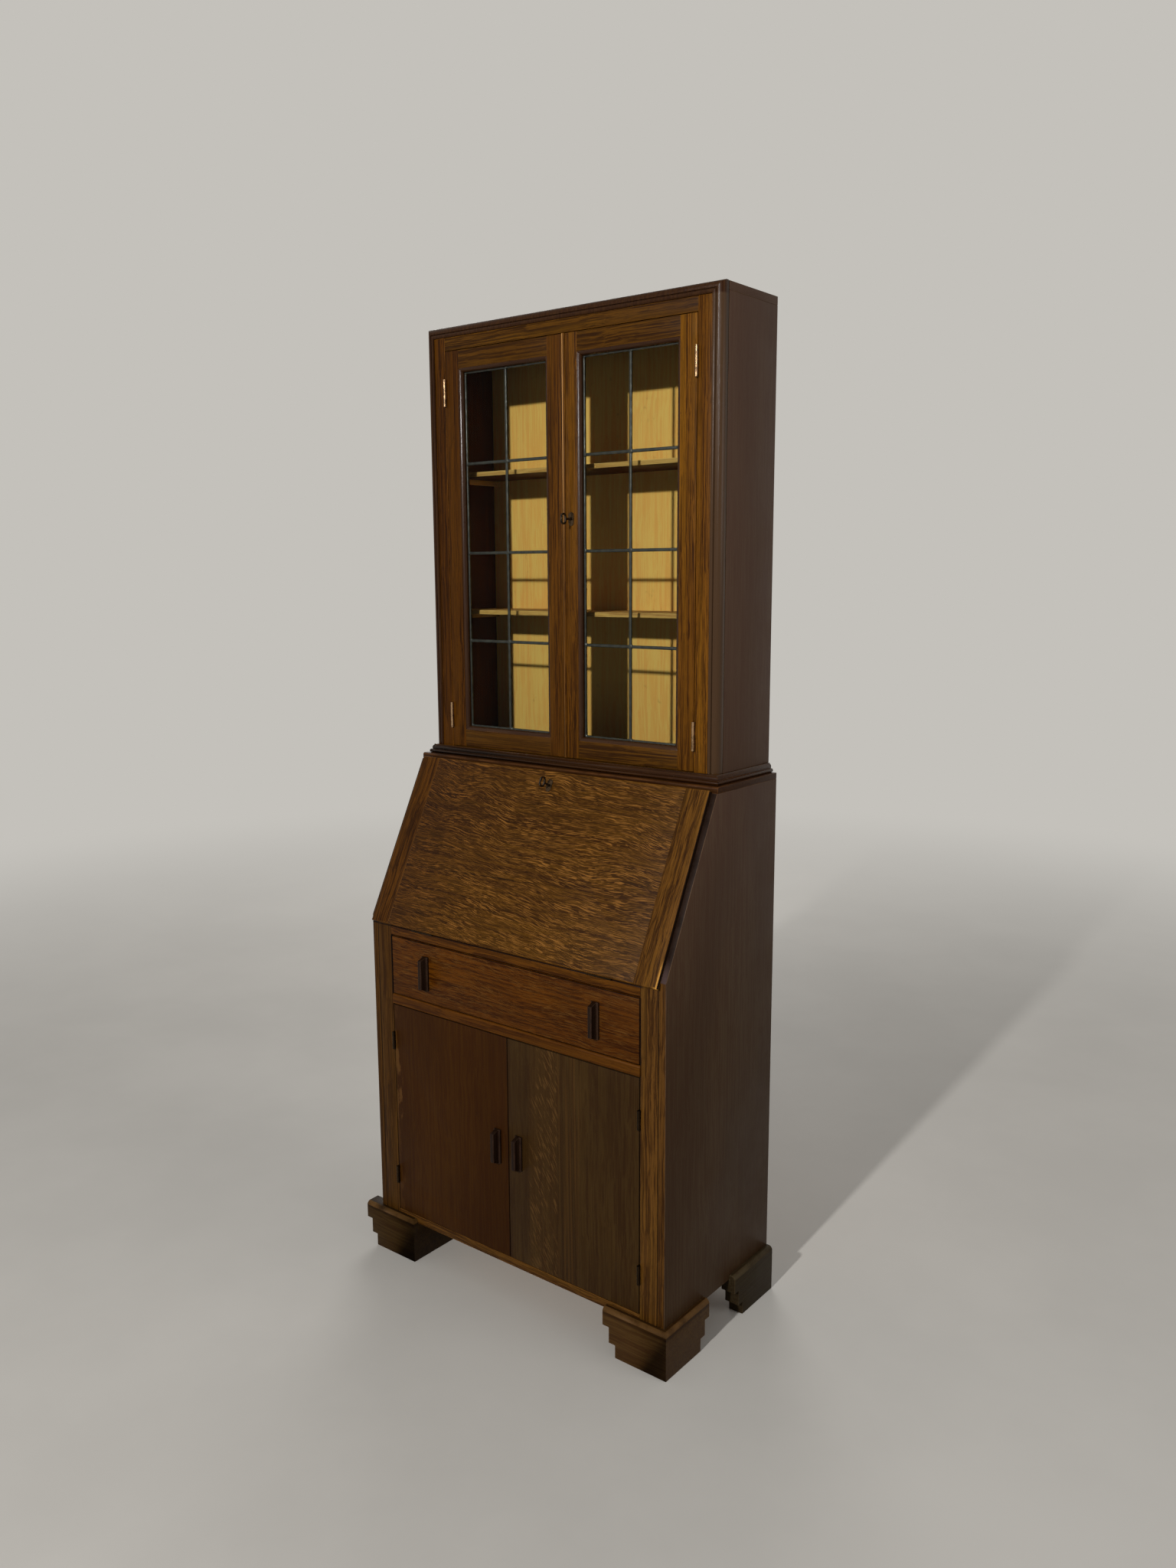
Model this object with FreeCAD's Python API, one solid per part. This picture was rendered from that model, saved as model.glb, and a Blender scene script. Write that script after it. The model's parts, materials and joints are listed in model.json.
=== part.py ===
import FreeCAD, Part
import os
from math import asin, cos, degrees, radians, sin, sqrt

# Bureau bookcase in oak: a writing desk with a sloping fall, one long drawer and a two-door
# cupboard on stepped bracket feet, and a glazed bookcase with leaded doors standing on it.
# Millimetres. +Z is up, the front faces -Y, and +X is to the right for someone facing it.
# The origin is under the middle of the whole piece, on the floor.
# The sizes below place the carcass with its front at y = 0, and "origin_shift" then moves
# every piece so that the origin lies under the middle of the overall box.

V = FreeCAD.Vector

# Driving sizes of the whole
carcass_width = 760.0
carcass_depth = 375.0
desk_height = 1090.0
overall_height = 1975.0
fall_slope_degrees = 26.7
fall_rise = 344.0

# Stock and clearances
side_thickness = 16.0
shelf_thickness = 16.0
frame_thickness = 20.0
back_thickness = 6.0
seat_gap = 0.3
leaf_gap = 1.5
run_gap = 0.05
overrun = 60.0

# Desk front, from the floor up
foot_height = 95.0
foot_lap = 10.0
base_rail_height = 17.0
drawer_rail_height = 22.0
drawer_rail_proud = 2.0
drawer_opening = 129.0
fall_rail_height = 22.0
fall_rail_depth = 40.0
rail_nose = 4.0
desk_stile_width = 40.0
desk_top_thickness = 12.0
desk_top_nose = 4.0
writing_board_thickness = 16.0

# Feet: thick boards with a rounded top edge and a stepped inner end
foot_proud = 14.0
foot_stock = 32.0
foot_length = 148.0
foot_tread = 15.0
foot_lower_rise = 26.0
foot_middle_rise = 32.0
foot_round = 9.0
odd_foot_overhang = 36.0

# Fall: a panel between two end clamps, lipped over the carcass
fall_thickness = 16.0
fall_lip = 10.0
fall_side_lap = 4.0
fall_side_gap = 1.0
fall_clamp_width = 50.0
fall_top_drop = 5.0
fall_top_gap = 0.8
fall_hinge_forward = 0.8
fall_edge_round = 2.5

# Quadrant stays that hold the open fall
stay_radius = 118.0
stay_width = 12.0
stay_thickness = 3.0
stay_wall_gap = 2.5
stay_stop = 3.0
stay_foot_length = 34.0
stay_foot_thickness = 2.5
stay_channel_gap = 0.4
stay_guide_wall = 5.0
stay_guide_start_degrees = 51.0
stay_guide_end_degrees = 58.0
stay_stop_degrees = 4.0
stay_notch_gap = 4.0

# Drawer
drawer_front_thickness = 18.0
drawer_side_thickness = 11.0
drawer_bottom_thickness = 5.0
drawer_bottom_rise = 8.0
drawer_groove = 5.0
drawer_depth = 330.0
drawer_side_drop = 9.0
runner_width = 64.0
runner_thickness = 18.0
kicker_thickness = 14.0
guide_width = 21.0
guide_height = 30.0

# Cupboard
lower_door_thickness = 18.0
cupboard_shelf_setback = 42.0
cleat_section = 16.0
meeting_offset = 28.0

# Bar handles: a base strip with a narrower proud bar
handle_length = 72.0
handle_width = 17.0
handle_base = 5.0
handle_bar_width = 9.5
handle_reach = 20.0
handle_bevel = 6.0
handle_arris = 1.2
drawer_handle_inset = 100.0

# Pigeonholes at the back of the writing space
rack_height = 200.0
rack_depth = 165.0
rack_board = 8.0
rack_end_gap = 1.0
rack_letter_height = 120.0
rack_cells = 5

# Bookcase carcass
hutch_inset = 18.0
hutch_setback = 22.5
waist_height = 18.0
waist_projection = 10.0
edge_width = 22.0
edge_depth = 23.0
edge_bead = 4.0
edge_quirk = 1.5
edge_groove = 1.0
face_recess = 3.0
hutch_stile_width = 29.0
hutch_top_rail_height = 26.0
shelf_setback = 25.0
hutch_shelf_count = 2
hutch_shelf_thickness = 9.0
hutch_shelf_lift = 4.0
hutch_cleat_section = 10.0

# Leaded doors
upper_door_thickness = 20.0
door_frame_width = 44.0
ovolo_width = 8.0
ovolo_step = 1.0
glass_setback = 10.0
panel_edge_gap = 1.0
border_came = 10.0
inner_came = 6.0
came_flange = 1.2
came_heart = 2.4
pane_bury = 2.0
pane_thickness = 2.0
pane_edge_gap = 0.15
pane_columns = 2
pane_rows = 4
glazing_bead_gap = 1.0
meeting_bead_width = 9.0
meeting_bead_proud = 4.0

# Butt hinges
knuckle_radius = 3.0
hinge_pin_radius = 1.2
leaf_thickness = 1.5
leaf_depth = 20.0
upper_hinge_length = 54.0
upper_hinge_inset_top = 82.0
upper_hinge_inset_bottom = 66.0
lower_hinge_length = 38.0
lower_hinge_inset = 82.0
fall_hinge_length = 60.0
fall_hinge_inset = 58.0
fall_leaf_thickness = 2.0

# Locks and keys
lock_width = 40.0
lock_height = 42.0
lock_depth = 10.0
lock_stand = 4.0
lock_skin = 0.8
bolt_width = 16.0
bolt_thickness = 2.6
fall_bolt_throw = 10.0
door_bolt_throw = 7.0
fall_key_drop = 30.0
door_key_rise = 61.5
door_key_offset = 21.5
key_radius = 2.2
key_reach = 24.0
key_bit_length = 5.5
key_bit_width = 3.5
key_bit_thickness = 2.4
key_hole_gap = 0.8
bow_height = 11.0
bow_length = 8.0
bow_rim = 3.4
bow_thickness = 2.6
escutcheon_height = 26.0
escutcheon_width = 13.0
escutcheon_thickness = 1.2

# Levels and lines that follow from the sizes
half_width = carcass_width / 2
inner_half = half_width - side_thickness
opening_half = inner_half - desk_stile_width
carcass_base = foot_height - foot_lap
base_rail_top = carcass_base + base_rail_height
writing_height = desk_height - fall_rise
drawer_ceiling = writing_height - fall_rail_height
drawer_floor = drawer_ceiling - drawer_opening
cupboard_top = drawer_floor - drawer_rail_height
cupboard_middle = (base_rail_top + cupboard_top) / 2
cupboard_shelf_level = cupboard_middle - shelf_thickness / 2
desk_underside = desk_height - desk_top_thickness
back_front = carcass_depth - back_thickness
slope = radians(fall_slope_degrees)
hinge_y = -fall_hinge_forward
fall_half = inner_half + fall_side_lap
fall_inner_half = inner_half - fall_side_gap
lip_back = fall_thickness - fall_lip
fall_length = (desk_height - fall_top_drop - writing_height - fall_thickness * sin(slope)) / cos(slope)
inner_length = (desk_underside - leaf_gap - writing_height - lip_back * sin(slope)) / cos(slope)
desk_top_front = hinge_y + fall_length * sin(slope) - lip_back * cos(slope) + fall_top_gap
hutch_front = desk_top_front + hutch_setback
hutch_half = half_width - hutch_inset
hutch_inner_half = hutch_half - side_thickness
edge_inner_half = hutch_half - edge_width
edge_back = hutch_front + edge_depth
door_face = hutch_front + face_recess
hutch_opening_half = edge_inner_half - hutch_stile_width
hutch_floor_top = desk_height + waist_height
hutch_rail_top = overall_height - edge_width
hutch_opening_top = hutch_rail_top - hutch_top_rail_height
hutch_top_underside = overall_height - shelf_thickness
fall_key_along = fall_length - fall_key_drop

# The overall box: the odd foot reaches furthest left, the handles and feet furthest forward
box_left = -half_width - odd_foot_overhang
box_right = half_width + foot_proud
box_front = -handle_reach
box_back = carcass_depth
origin_shift = V(-(box_left + box_right) / 2, -(box_front + box_back) / 2, 0)

node_count = 0


def block(x, y, z):
    """Box between two values along each axis."""
    return Part.makeBox(x[1] - x[0], y[1] - y[0], z[1] - z[0], V(x[0], y[0], z[0]))


def arc_round(before, corner, after):
    """Quarter round that replaces a square corner, as a middle and an end point."""
    centre = before + after - corner
    toward = (corner - centre).normalize()
    return (centre + toward * (before - centre).Length, after)


def face_of(steps):
    """Face bounded by straight lines, and by an arc where a step is a middle and an end."""
    edges = []
    here = steps[0]
    for step in steps[1:]:
        if isinstance(step, tuple):
            edges.append(Part.Arc(here, step[0], step[1]).toShape())
            here = step[1]
        else:
            edges.append(Part.makeLine(here, step))
            here = step
    if not here.isEqual(steps[0], run_gap):
        edges.append(Part.makeLine(here, steps[0]))
    return Part.Face(Part.Wire(edges))


def prism(steps, travel):
    return face_of(steps).extrude(travel)


def rod(radius, start, travel):
    return Part.makeCylinder(radius, travel.Length, start, travel)


def flipped(shape):
    """The same piece for the other side."""
    return shape.mirror(V(0, 0, 0), V(1, 0, 0))


def joined(pieces):
    whole = pieces[0]
    for piece in pieces[1:]:
        whole = whole.fuse(piece)
    return whole.removeSplitter()


def solids_of(shape):
    return shape.Solids if shape.ShapeType != "Solid" else [shape]


def save(name, pieces):
    """Writes one sub-part, moved to the origin, and checks that every solid is sound."""
    global node_count
    solids = []
    for piece in pieces:
        solids.extend(solids_of(piece))
    placed = []
    for solid in solids:
        moved = solid.copy()
        moved.translate(origin_shift)
        if not moved.isValid() or moved.Volume <= 0:
            raise ValueError("unsound solid in " + name)
        placed.append(moved)
    shape = placed[0] if len(placed) == 1 else Part.makeCompound(placed)
    shape.exportStep("parts/" + name + ".step")
    node_count += 1
    print(f"{name:26s} {len(placed):3d} solids")


# Places on the fall: along its slope from the hinge pin, and out from its inner face

along_axis = V(0, sin(slope), cos(slope))
out_axis = V(0, -cos(slope), sin(slope))
fall_pin = V(0, hinge_y, writing_height)


def on_fall(x, along, out):
    return fall_pin + V(x, 0, 0) + along_axis * along + out_axis * out


def fall_block(x, along, out):
    """Box between two values across, along and out from the fall."""
    corners = [on_fall(x[0], along[0], out[0]), on_fall(x[0], along[1], out[0]),
               on_fall(x[0], along[1], out[1]), on_fall(x[0], along[0], out[1])]
    return prism(corners, V(x[1] - x[0], 0, 0))


# Lift-off butt hinges: pin along the local Z axis, leaves towards local +Y, thickness along local X

def leaf_plate(length, sides, depth):
    return block(sides, (knuckle_radius + seat_gap, depth), (-length / 2, length / 2))


def knuckle(sides, low, high):
    """Round eye between two levels, and the tab that joins it to its leaf."""
    return [rod(knuckle_radius, V(0, 0, low), V(0, 0, high - low)),
            block(sides, (0, knuckle_radius + leaf_thickness), (low, high))]


def fixed_leaf(length, sides, depth):
    """Leaf on the carcass, with the lower knuckle and the pin that stands in it."""
    parts = [leaf_plate(length, sides, depth)] + knuckle(sides, -length / 2, 0)
    parts.append(rod(hinge_pin_radius, V(0, 0, -length / 2), V(0, 0, length)))
    return joined(parts)


def moving_leaf(length, sides, depth):
    """Leaf on the door, with the upper knuckle bored to run on the pin."""
    parts = [leaf_plate(length, sides, depth)] + knuckle(sides, seat_gap, length / 2)
    bore = rod(hinge_pin_radius + run_gap, V(0, 0, -length), V(0, 0, 2 * length))
    return joined(parts).cut(bore)


def leaf_recess(length, sides, depth):
    return block(sides, (-knuckle_radius, depth), (-length / 2, length / 2))


def placed_at(shape, spot, x_axis=V(1, 0, 0), y_axis=V(0, 1, 0), z_axis=V(0, 0, 1)):
    moved = shape.copy()
    moved.Placement = FreeCAD.Placement(spot, FreeCAD.Rotation(x_axis, y_axis, z_axis, "XYZ"))
    return moved


def door_hinge(length, joint_x, side, face_y, middle_z):
    """Both leaves of a door's hinge and the two recesses they lie in."""
    near = leaf_gap / 2
    far = near + leaf_thickness
    carcass_sides = (near, far) if side > 0 else (-far, -near)
    door_sides = (-far, -near) if side > 0 else (near, far)
    depth = leaf_depth - leaf_thickness
    spot = V(joint_x - side * near, face_y - knuckle_radius - seat_gap, middle_z)
    return {
        "fixed": placed_at(fixed_leaf(length, carcass_sides, depth), spot),
        "moving": placed_at(moving_leaf(length, door_sides, depth), spot),
        "fixed_recess": placed_at(leaf_recess(length, carcass_sides, depth), spot),
        "moving_recess": placed_at(leaf_recess(length, door_sides, depth), spot),
    }


def fall_hinge(x):
    """Hinge under the fall: one leaf flush in the rail, one flush in the fall's inner face."""
    spot = V(x, hinge_y, writing_height)
    down = V(0, 0, -1)
    depth = leaf_depth
    rail_turn = {"x_axis": down, "y_axis": V(0, 1, 0), "z_axis": V(1, 0, 0)}
    fall_turn = {"x_axis": out_axis * -1, "y_axis": along_axis, "z_axis": V(1, 0, 0)}
    rail_sides = (0, fall_leaf_thickness)
    fall_sides = (-fall_leaf_thickness, 0)
    reach = fall_hinge_length / 2 + seat_gap
    groove = rod(knuckle_radius + seat_gap, spot - V(reach, 0, 0), V(2 * reach, 0, 0))
    return {
        "fixed": placed_at(fixed_leaf(fall_hinge_length, rail_sides, depth), spot, **rail_turn),
        "moving": placed_at(moving_leaf(fall_hinge_length, fall_sides, depth), spot, **fall_turn),
        "fixed_recess": placed_at(leaf_recess(fall_hinge_length, rail_sides, depth), spot, **rail_turn),
        "moving_recess": placed_at(leaf_recess(fall_hinge_length, fall_sides, depth), spot, **fall_turn),
        "groove": groove,
    }


upper_door_bottom = hutch_floor_top + leaf_gap
upper_door_top = hutch_opening_top - leaf_gap
upper_hinge_levels = [upper_door_bottom + upper_hinge_inset_bottom, upper_door_top - upper_hinge_inset_top]
lower_hinge_levels = [base_rail_top + lower_hinge_inset, cupboard_top - lower_hinge_inset]
upper_hinges = {side: [door_hinge(upper_hinge_length, side * hutch_opening_half, side, door_face, z)
                       for z in upper_hinge_levels] for side in (-1, 1)}
lower_hinges = {side: [door_hinge(lower_hinge_length, side * opening_half, side, 0, z)
                       for z in lower_hinge_levels] for side in (-1, 1)}
fall_hinge_x = fall_half - fall_clamp_width - fall_hinge_inset - fall_hinge_length / 2
fall_hinges = [fall_hinge(x) for x in (-fall_hinge_x, fall_hinge_x)]


def without(shape, cutters):
    for cutter in cutters:
        shape = shape.cut(cutter)
    return shape


# Desk carcass

def desk_side():
    """Right side: upright to the writing level, then sloping back under the fall's lip."""
    rest = lip_back - seat_gap
    foot_of_slope = -hinge_y + rest * cos(slope)
    bend_z = writing_height + rest * sin(slope) + foot_of_slope * cos(slope) / sin(slope)
    top_y = (desk_underside - bend_z) * sin(slope) / cos(slope)
    return prism([V(inner_half, 0, carcass_base), V(inner_half, carcass_depth, carcass_base),
                  V(inner_half, carcass_depth, desk_underside), V(inner_half, top_y, desk_underside),
                  V(inner_half, 0, bend_z)], V(side_thickness, 0, 0))


def desk_stile():
    stile = block((opening_half, inner_half), (0, frame_thickness), (carcass_base, writing_height))
    return without(stile, [hinge["fixed_recess"] for hinge in lower_hinges[1]])


def nosed_rail(half_length, front, back, bottom, top, nose):
    """Rail along X with both front edges rounded."""
    return prism([
        V(-half_length, back, bottom), V(-half_length, front + nose, bottom),
        arc_round(V(-half_length, front + nose, bottom), V(-half_length, front, bottom),
                  V(-half_length, front, bottom + nose)),
        V(-half_length, front, top - nose),
        arc_round(V(-half_length, front, top - nose), V(-half_length, front, top),
                  V(-half_length, front + nose, top)),
        V(-half_length, back, top)], V(2 * half_length, 0, 0))


def fall_rail():
    rail = nosed_rail(opening_half, 0, fall_rail_depth, drawer_ceiling, writing_height, rail_nose)
    cutters = [hinge[key] for hinge in fall_hinges for key in ("fixed_recess", "groove")]
    return without(rail, cutters)


def fall_bolt_places():
    """Where the fall's bolt lies at rest, as spans across, along and out from the fall."""
    across = (-bolt_width / 2, bolt_width / 2)
    key_sweep = key_radius + key_bit_length
    start = fall_key_along + key_sweep + seat_gap
    out = (-lock_stand + lock_skin, -lock_stand + lock_skin + bolt_thickness)
    return across, (start, inner_length - seat_gap), out


def desk_top():
    """Board across both sides, with a pocket underneath for the fall's bolt."""
    nose = desk_top_nose
    board = prism([
        V(-half_width, carcass_depth, desk_underside), V(-half_width, desk_top_front, desk_underside),
        V(-half_width, desk_top_front, desk_height - nose),
        arc_round(V(-half_width, desk_top_front, desk_height - nose),
                  V(-half_width, desk_top_front, desk_height),
                  V(-half_width, desk_top_front + nose, desk_height)),
        V(-half_width, carcass_depth, desk_height)], V(carcass_width, 0, 0))
    across, along, out = fall_bolt_places()
    reach = along[1] + fall_bolt_throw + leaf_gap
    pocket = fall_block((across[0] - leaf_gap, across[1] + leaf_gap), (along[0], reach),
                        (out[0] - leaf_gap, out[1] + seat_gap))
    return board.cut(pocket)


def writing_board():
    """Floor of the writing space, notched at each end for the stays."""
    board = block((-inner_half, inner_half), (fall_rail_depth, back_front),
                  (writing_height - writing_board_thickness, writing_height))
    outer = stay_radius + stay_width / 2 + stay_stop
    inner = stay_radius - stay_width / 2
    notch_inner = stay_inner_x() - stay_notch_gap
    for side in (-1, 1):
        ends = sorted((side * notch_inner, side * inner_half))
        notch = block(ends, (inner - 2 * stay_notch_gap, outer + stay_notch_gap),
                      (writing_height - overrun, writing_height + overrun))
        board = board.cut(notch)
    return board


def side_battens():
    """Drawer runner, guide and kicker, and the cupboard shelf's cleat, for the right side."""
    runner = block((inner_half - runner_width, inner_half), (frame_thickness, back_front),
                   (drawer_floor - runner_thickness, drawer_floor))
    guide = block((opening_half, opening_half + guide_width), (frame_thickness, drawer_depth),
                  (drawer_floor, drawer_floor + guide_height))
    board_underside = writing_height - writing_board_thickness
    kicker = block((inner_half - runner_width, opening_half + guide_width), (fall_rail_depth, back_front),
                   (board_underside - kicker_thickness, board_underside))
    cleat = block((inner_half - cleat_section, inner_half), (cupboard_shelf_setback + cleat_section, back_front),
                  (cupboard_shelf_level - cleat_section, cupboard_shelf_level))
    return [runner, guide, kicker, cleat]


def cupboard_shelf():
    half = inner_half - seat_gap
    return block((-half, half), (cupboard_shelf_setback, back_front - seat_gap),
                 (cupboard_shelf_level, cupboard_shelf_level + shelf_thickness))


# Feet

def foot_board(length, place):
    """One stepped board with a rounded top edge. "place" turns along, in and up into a point."""
    lower = foot_lower_rise
    middle = lower + foot_middle_rise
    elevation = [place(0, 0, 0), place(length - 2 * foot_tread, 0, 0), place(length - 2 * foot_tread, 0, lower),
                 place(length - foot_tread, 0, lower), place(length - foot_tread, 0, middle),
                 place(length, 0, middle), place(length, 0, foot_height), place(0, 0, foot_height)]
    stepped = prism(elevation, place(0, foot_stock, 0) - place(0, 0, 0))
    section = [place(0, 0, 0), place(0, foot_stock, 0), place(0, foot_stock, foot_height),
               place(0, foot_round, foot_height),
               arc_round(place(0, foot_round, foot_height), place(0, 0, foot_height),
                         place(0, 0, foot_height - foot_round))]
    rounded = prism(section, place(length, 0, 0) - place(0, 0, 0))
    return stepped.common(rounded)


def bracket_foot(corner_x):
    """Front and side boards mitred at the corner, fitted round the carcass."""
    corner_y = -foot_proud

    def front_place(along, inward, up):
        return V(corner_x - along, corner_y + inward, up)

    def side_place(along, inward, up):
        return V(corner_x - inward, corner_y + along, up)

    pieces = []
    for place in (front_place, side_place):
        board = foot_board(foot_length, place)
        mitre = prism([place(0, 0, 0), place(foot_stock, foot_stock, 0), place(foot_length, foot_stock, 0),
                       place(foot_length, 0, 0)], V(0, 0, foot_height))
        pieces.append(board.common(mitre).cut(carcass_envelope()))
    return pieces


def carcass_envelope():
    """The space of the desk carcass, which the feet lap and stand under."""
    return block((-half_width, half_width), (0, carcass_depth), (carcass_base, foot_height + overrun))


def back_foot():
    """Right back foot: a side board that ends flush with the back."""
    def place(along, inward, up):
        return V(half_width + foot_proud - inward, carcass_depth - along, up)
    return foot_board(foot_length, place).cut(carcass_envelope())


# Fall

def fall_section(x, travel):
    """The fall's full section: the lip stands outside the carcass, the rest inside it."""
    curve = fall_edge_round
    thick = fall_thickness
    return prism([
        on_fall(x, 0, 0), on_fall(x, inner_length, 0), on_fall(x, inner_length, lip_back),
        on_fall(x, fall_length, lip_back), on_fall(x, fall_length, thick - curve),
        arc_round(on_fall(x, fall_length, thick - curve), on_fall(x, fall_length, thick),
                  on_fall(x, fall_length - curve, thick)),
        on_fall(x, curve, thick),
        arc_round(on_fall(x, curve, thick), on_fall(x, 0, thick), on_fall(x, 0, thick - curve))],
        V(travel, 0, 0))


def fall_clamp():
    """Right end clamp, with its outer edge rounded as the top and bottom edges are."""
    start = fall_half - fall_clamp_width
    board = fall_section(start, fall_clamp_width)
    inner_part = fall_block((fall_inner_half, fall_half + overrun), (-overrun, fall_length), (-overrun, lip_back))
    board = board.cut(inner_part)
    curve = fall_edge_round
    end = fall_half
    low = -overrun
    thick = fall_thickness
    outside = prism([
        on_fall(end, low, thick - curve),
        arc_round(on_fall(end, low, thick - curve), on_fall(end, low, thick), on_fall(end - curve, low, thick)),
        on_fall(end - curve, low, thick + overrun), on_fall(end + overrun, low, thick + overrun),
        on_fall(end + overrun, low, thick - curve)], along_axis * (fall_length + 2 * overrun))
    return board.cut(outside)


def fall_lock_pocket():
    return fall_block((-lock_width / 2, lock_width / 2), (inner_length - lock_height, inner_length),
                      (0, lock_depth - lock_stand))


def fall_panel():
    half = fall_half - fall_clamp_width
    board = fall_section(-half, 2 * half)
    cutters = [hinge[key] for hinge in fall_hinges for key in ("moving_recess", "groove")]
    cutters.append(fall_lock_pocket())
    cutters.append(rod(key_radius + key_hole_gap, on_fall(0, fall_key_along, -overrun), out_axis * (2 * overrun)))
    return without(board, cutters)


def stay_inner_x():
    return inner_half - stay_wall_gap - stay_thickness


def sector(radii, start, end, x):
    """Ring sector about the fall's hinge pin, between two angles above level, across X."""
    def spot(radius, angle):
        return fall_pin + V(x[0], radius * cos(radians(angle)), radius * sin(radians(angle)))
    middle = (start + end) / 2
    inner, outer = radii
    face = face_of([spot(inner, start), spot(outer, start), (spot(outer, middle), spot(outer, end)),
                    spot(inner, end), (spot(inner, middle), spot(inner, start))])
    return face.extrude(V(x[1] - x[0], 0, 0))


def stay():
    """Right stay: an arc about the hinge pin with a foot on the fall and a stop at its tail."""
    radii = (stay_radius - stay_width / 2, stay_radius + stay_width / 2)
    x = (stay_inner_x(), stay_inner_x() + stay_thickness)
    open_turn = 90.0 + fall_slope_degrees
    face_angle = 90.0 - fall_slope_degrees
    stop_top = stay_guide_start_degrees - open_turn - degrees(asin(seat_gap / stay_radius))
    tail = stop_top - stay_stop_degrees
    arc = sector(radii, tail, face_angle, x)
    stop = sector((stay_radius, radii[1] + stay_stop), tail, stop_top, x)
    foot_inner = x[0] - 2 * stay_thickness
    foot = fall_block((foot_inner, x[1]), (stay_radius - stay_foot_length / 2, stay_radius + stay_foot_length / 2),
                      (-stay_foot_thickness, 0))
    return joined([arc, stop, foot])


def stay_guide():
    """Right guide: a brass staple on the carcass side that the stay slides through."""
    clear = stay_channel_gap
    wall = stay_guide_wall
    x_inner = stay_inner_x() - stay_channel_gap
    radii = (stay_radius - stay_width / 2 - wall, stay_radius + stay_width / 2 + wall)
    channel = (stay_radius - stay_width / 2 - clear, stay_radius + stay_width / 2 + clear)
    body = sector(radii, stay_guide_start_degrees, stay_guide_end_degrees, (x_inner - wall / 2, inner_half))
    slot = sector(channel, stay_guide_start_degrees - 2, stay_guide_end_degrees + 2, (x_inner, inner_half + wall))
    return body.cut(slot)


# Locks and keys. In a lock's own axes Z points out of the front, Y up and X to the right.

def round_ended(half, straight, thickness):
    """Plate on the XY plane with round ends, long along Y."""
    return prism([V(-half, -straight, 0), (V(0, -straight - half, 0), V(half, -straight, 0)),
                  V(half, straight, 0), (V(0, straight + half, 0), V(-half, straight, 0))], V(0, 0, thickness))


def key_bow():
    """Open oval that the fingers turn."""
    straight = bow_height - bow_length
    ring = round_ended(bow_length, straight, bow_thickness)
    ring = ring.cut(round_ended(bow_length - bow_rim, straight, bow_thickness))
    return placed_at(ring, V(bow_thickness / 2, 0, key_reach), V(0, 0, 1), V(0, 1, 0), V(-1, 0, 0))


def key():
    """Key with an open oval bow. Its shaft ends in a bit inside the lock."""
    depth = lock_reach() - lock_skin
    shaft = rod(key_radius, V(0, 0, -depth), V(0, 0, depth + key_reach - bow_length + bow_rim / 2))
    half = key_bit_thickness / 2
    bit = block((-half, half), (-key_radius - key_bit_length, 0), (-depth, -depth + key_bit_width))
    return joined([shaft, key_bow(), bit])


def lock_reach():
    """Depth from the front face to the middle of the lock case."""
    return fall_thickness - lock_depth + lock_stand + lock_depth / 2


def key_room():
    """The space that the key's shaft and bit need inside the lock case."""
    depth = lock_reach() - lock_skin
    half = key_radius + key_bit_length + seat_gap
    chamber = block((-half, half), (-half, half), (-depth - seat_gap, key_bit_width + seat_gap - depth))
    bore = rod(key_radius + run_gap, V(0, 0, -depth), V(0, 0, depth + overrun))
    return chamber.fuse(bore)


def escutcheon():
    """Plate with rounded ends round the keyhole."""
    half = escutcheon_width / 2
    plate = round_ended(half, escutcheon_height / 2 - half, escutcheon_thickness)
    hole = rod(key_radius + key_hole_gap, V(0, 0, -overrun), V(0, 0, 2 * overrun))
    return plate.cut(hole)


fall_key_axes = {"x_axis": V(1, 0, 0), "y_axis": along_axis, "z_axis": out_axis}
fall_key_spot = on_fall(0, fall_key_along, fall_thickness)
door_key_axes = {"x_axis": V(1, 0, 0), "y_axis": V(0, 0, 1), "z_axis": V(0, -1, 0)}
door_key_spot = V(door_key_offset, door_face, (upper_door_bottom + upper_door_top) / 2 + door_key_rise)


def fall_lock():
    """Lock case let into the fall's inner face, and the escutcheon outside."""
    across, along, out = fall_bolt_places()
    case = fall_block((-lock_width / 2, lock_width / 2), (inner_length - lock_height, inner_length),
                      (-lock_stand, lock_depth - lock_stand))
    channel = fall_block((across[0] - seat_gap, across[1] + seat_gap),
                         (along[0] - seat_gap, inner_length + overrun),
                         (out[0] - seat_gap, out[1] + seat_gap))
    room = placed_at(key_room(), fall_key_spot, **fall_key_axes)
    plate = placed_at(escutcheon(), fall_key_spot, **fall_key_axes)
    return [case.cut(channel).cut(room), plate]


def fall_bolt():
    return fall_block(*fall_bolt_places())


meeting_half = leaf_gap / 2 + run_gap


def door_lock_place():
    """The door lock's case, from the meeting edge across the stile."""
    z = door_key_spot.z
    back = door_face + upper_door_thickness
    x = (meeting_half, meeting_half + door_frame_width - ovolo_width - leaf_gap)
    return x, (back - lock_depth, back), (z - lock_height / 2, z + lock_height / 2)


def door_bolt_place():
    x, y, z = door_lock_place()
    end = door_key_offset - key_radius - key_bit_length - seat_gap
    back = y[1] - lock_skin - seat_gap
    middle = (z[0] + z[1]) / 2
    return (x[0] + seat_gap, end), (back - bolt_thickness, back), (middle - bolt_width / 2, middle + bolt_width / 2)


def door_lock():
    case = block(*door_lock_place())
    x, y, z = door_bolt_place()
    gap = seat_gap
    channel = block((-overrun, x[1] + gap), (y[0] - gap, y[1] + gap), (z[0] - gap, z[1] + gap))
    room = placed_at(key_room(), door_key_spot, **door_key_axes)
    plate = placed_at(escutcheon(), door_key_spot, **door_key_axes)
    return [case.cut(channel).cut(room), plate]


# Handles

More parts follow.
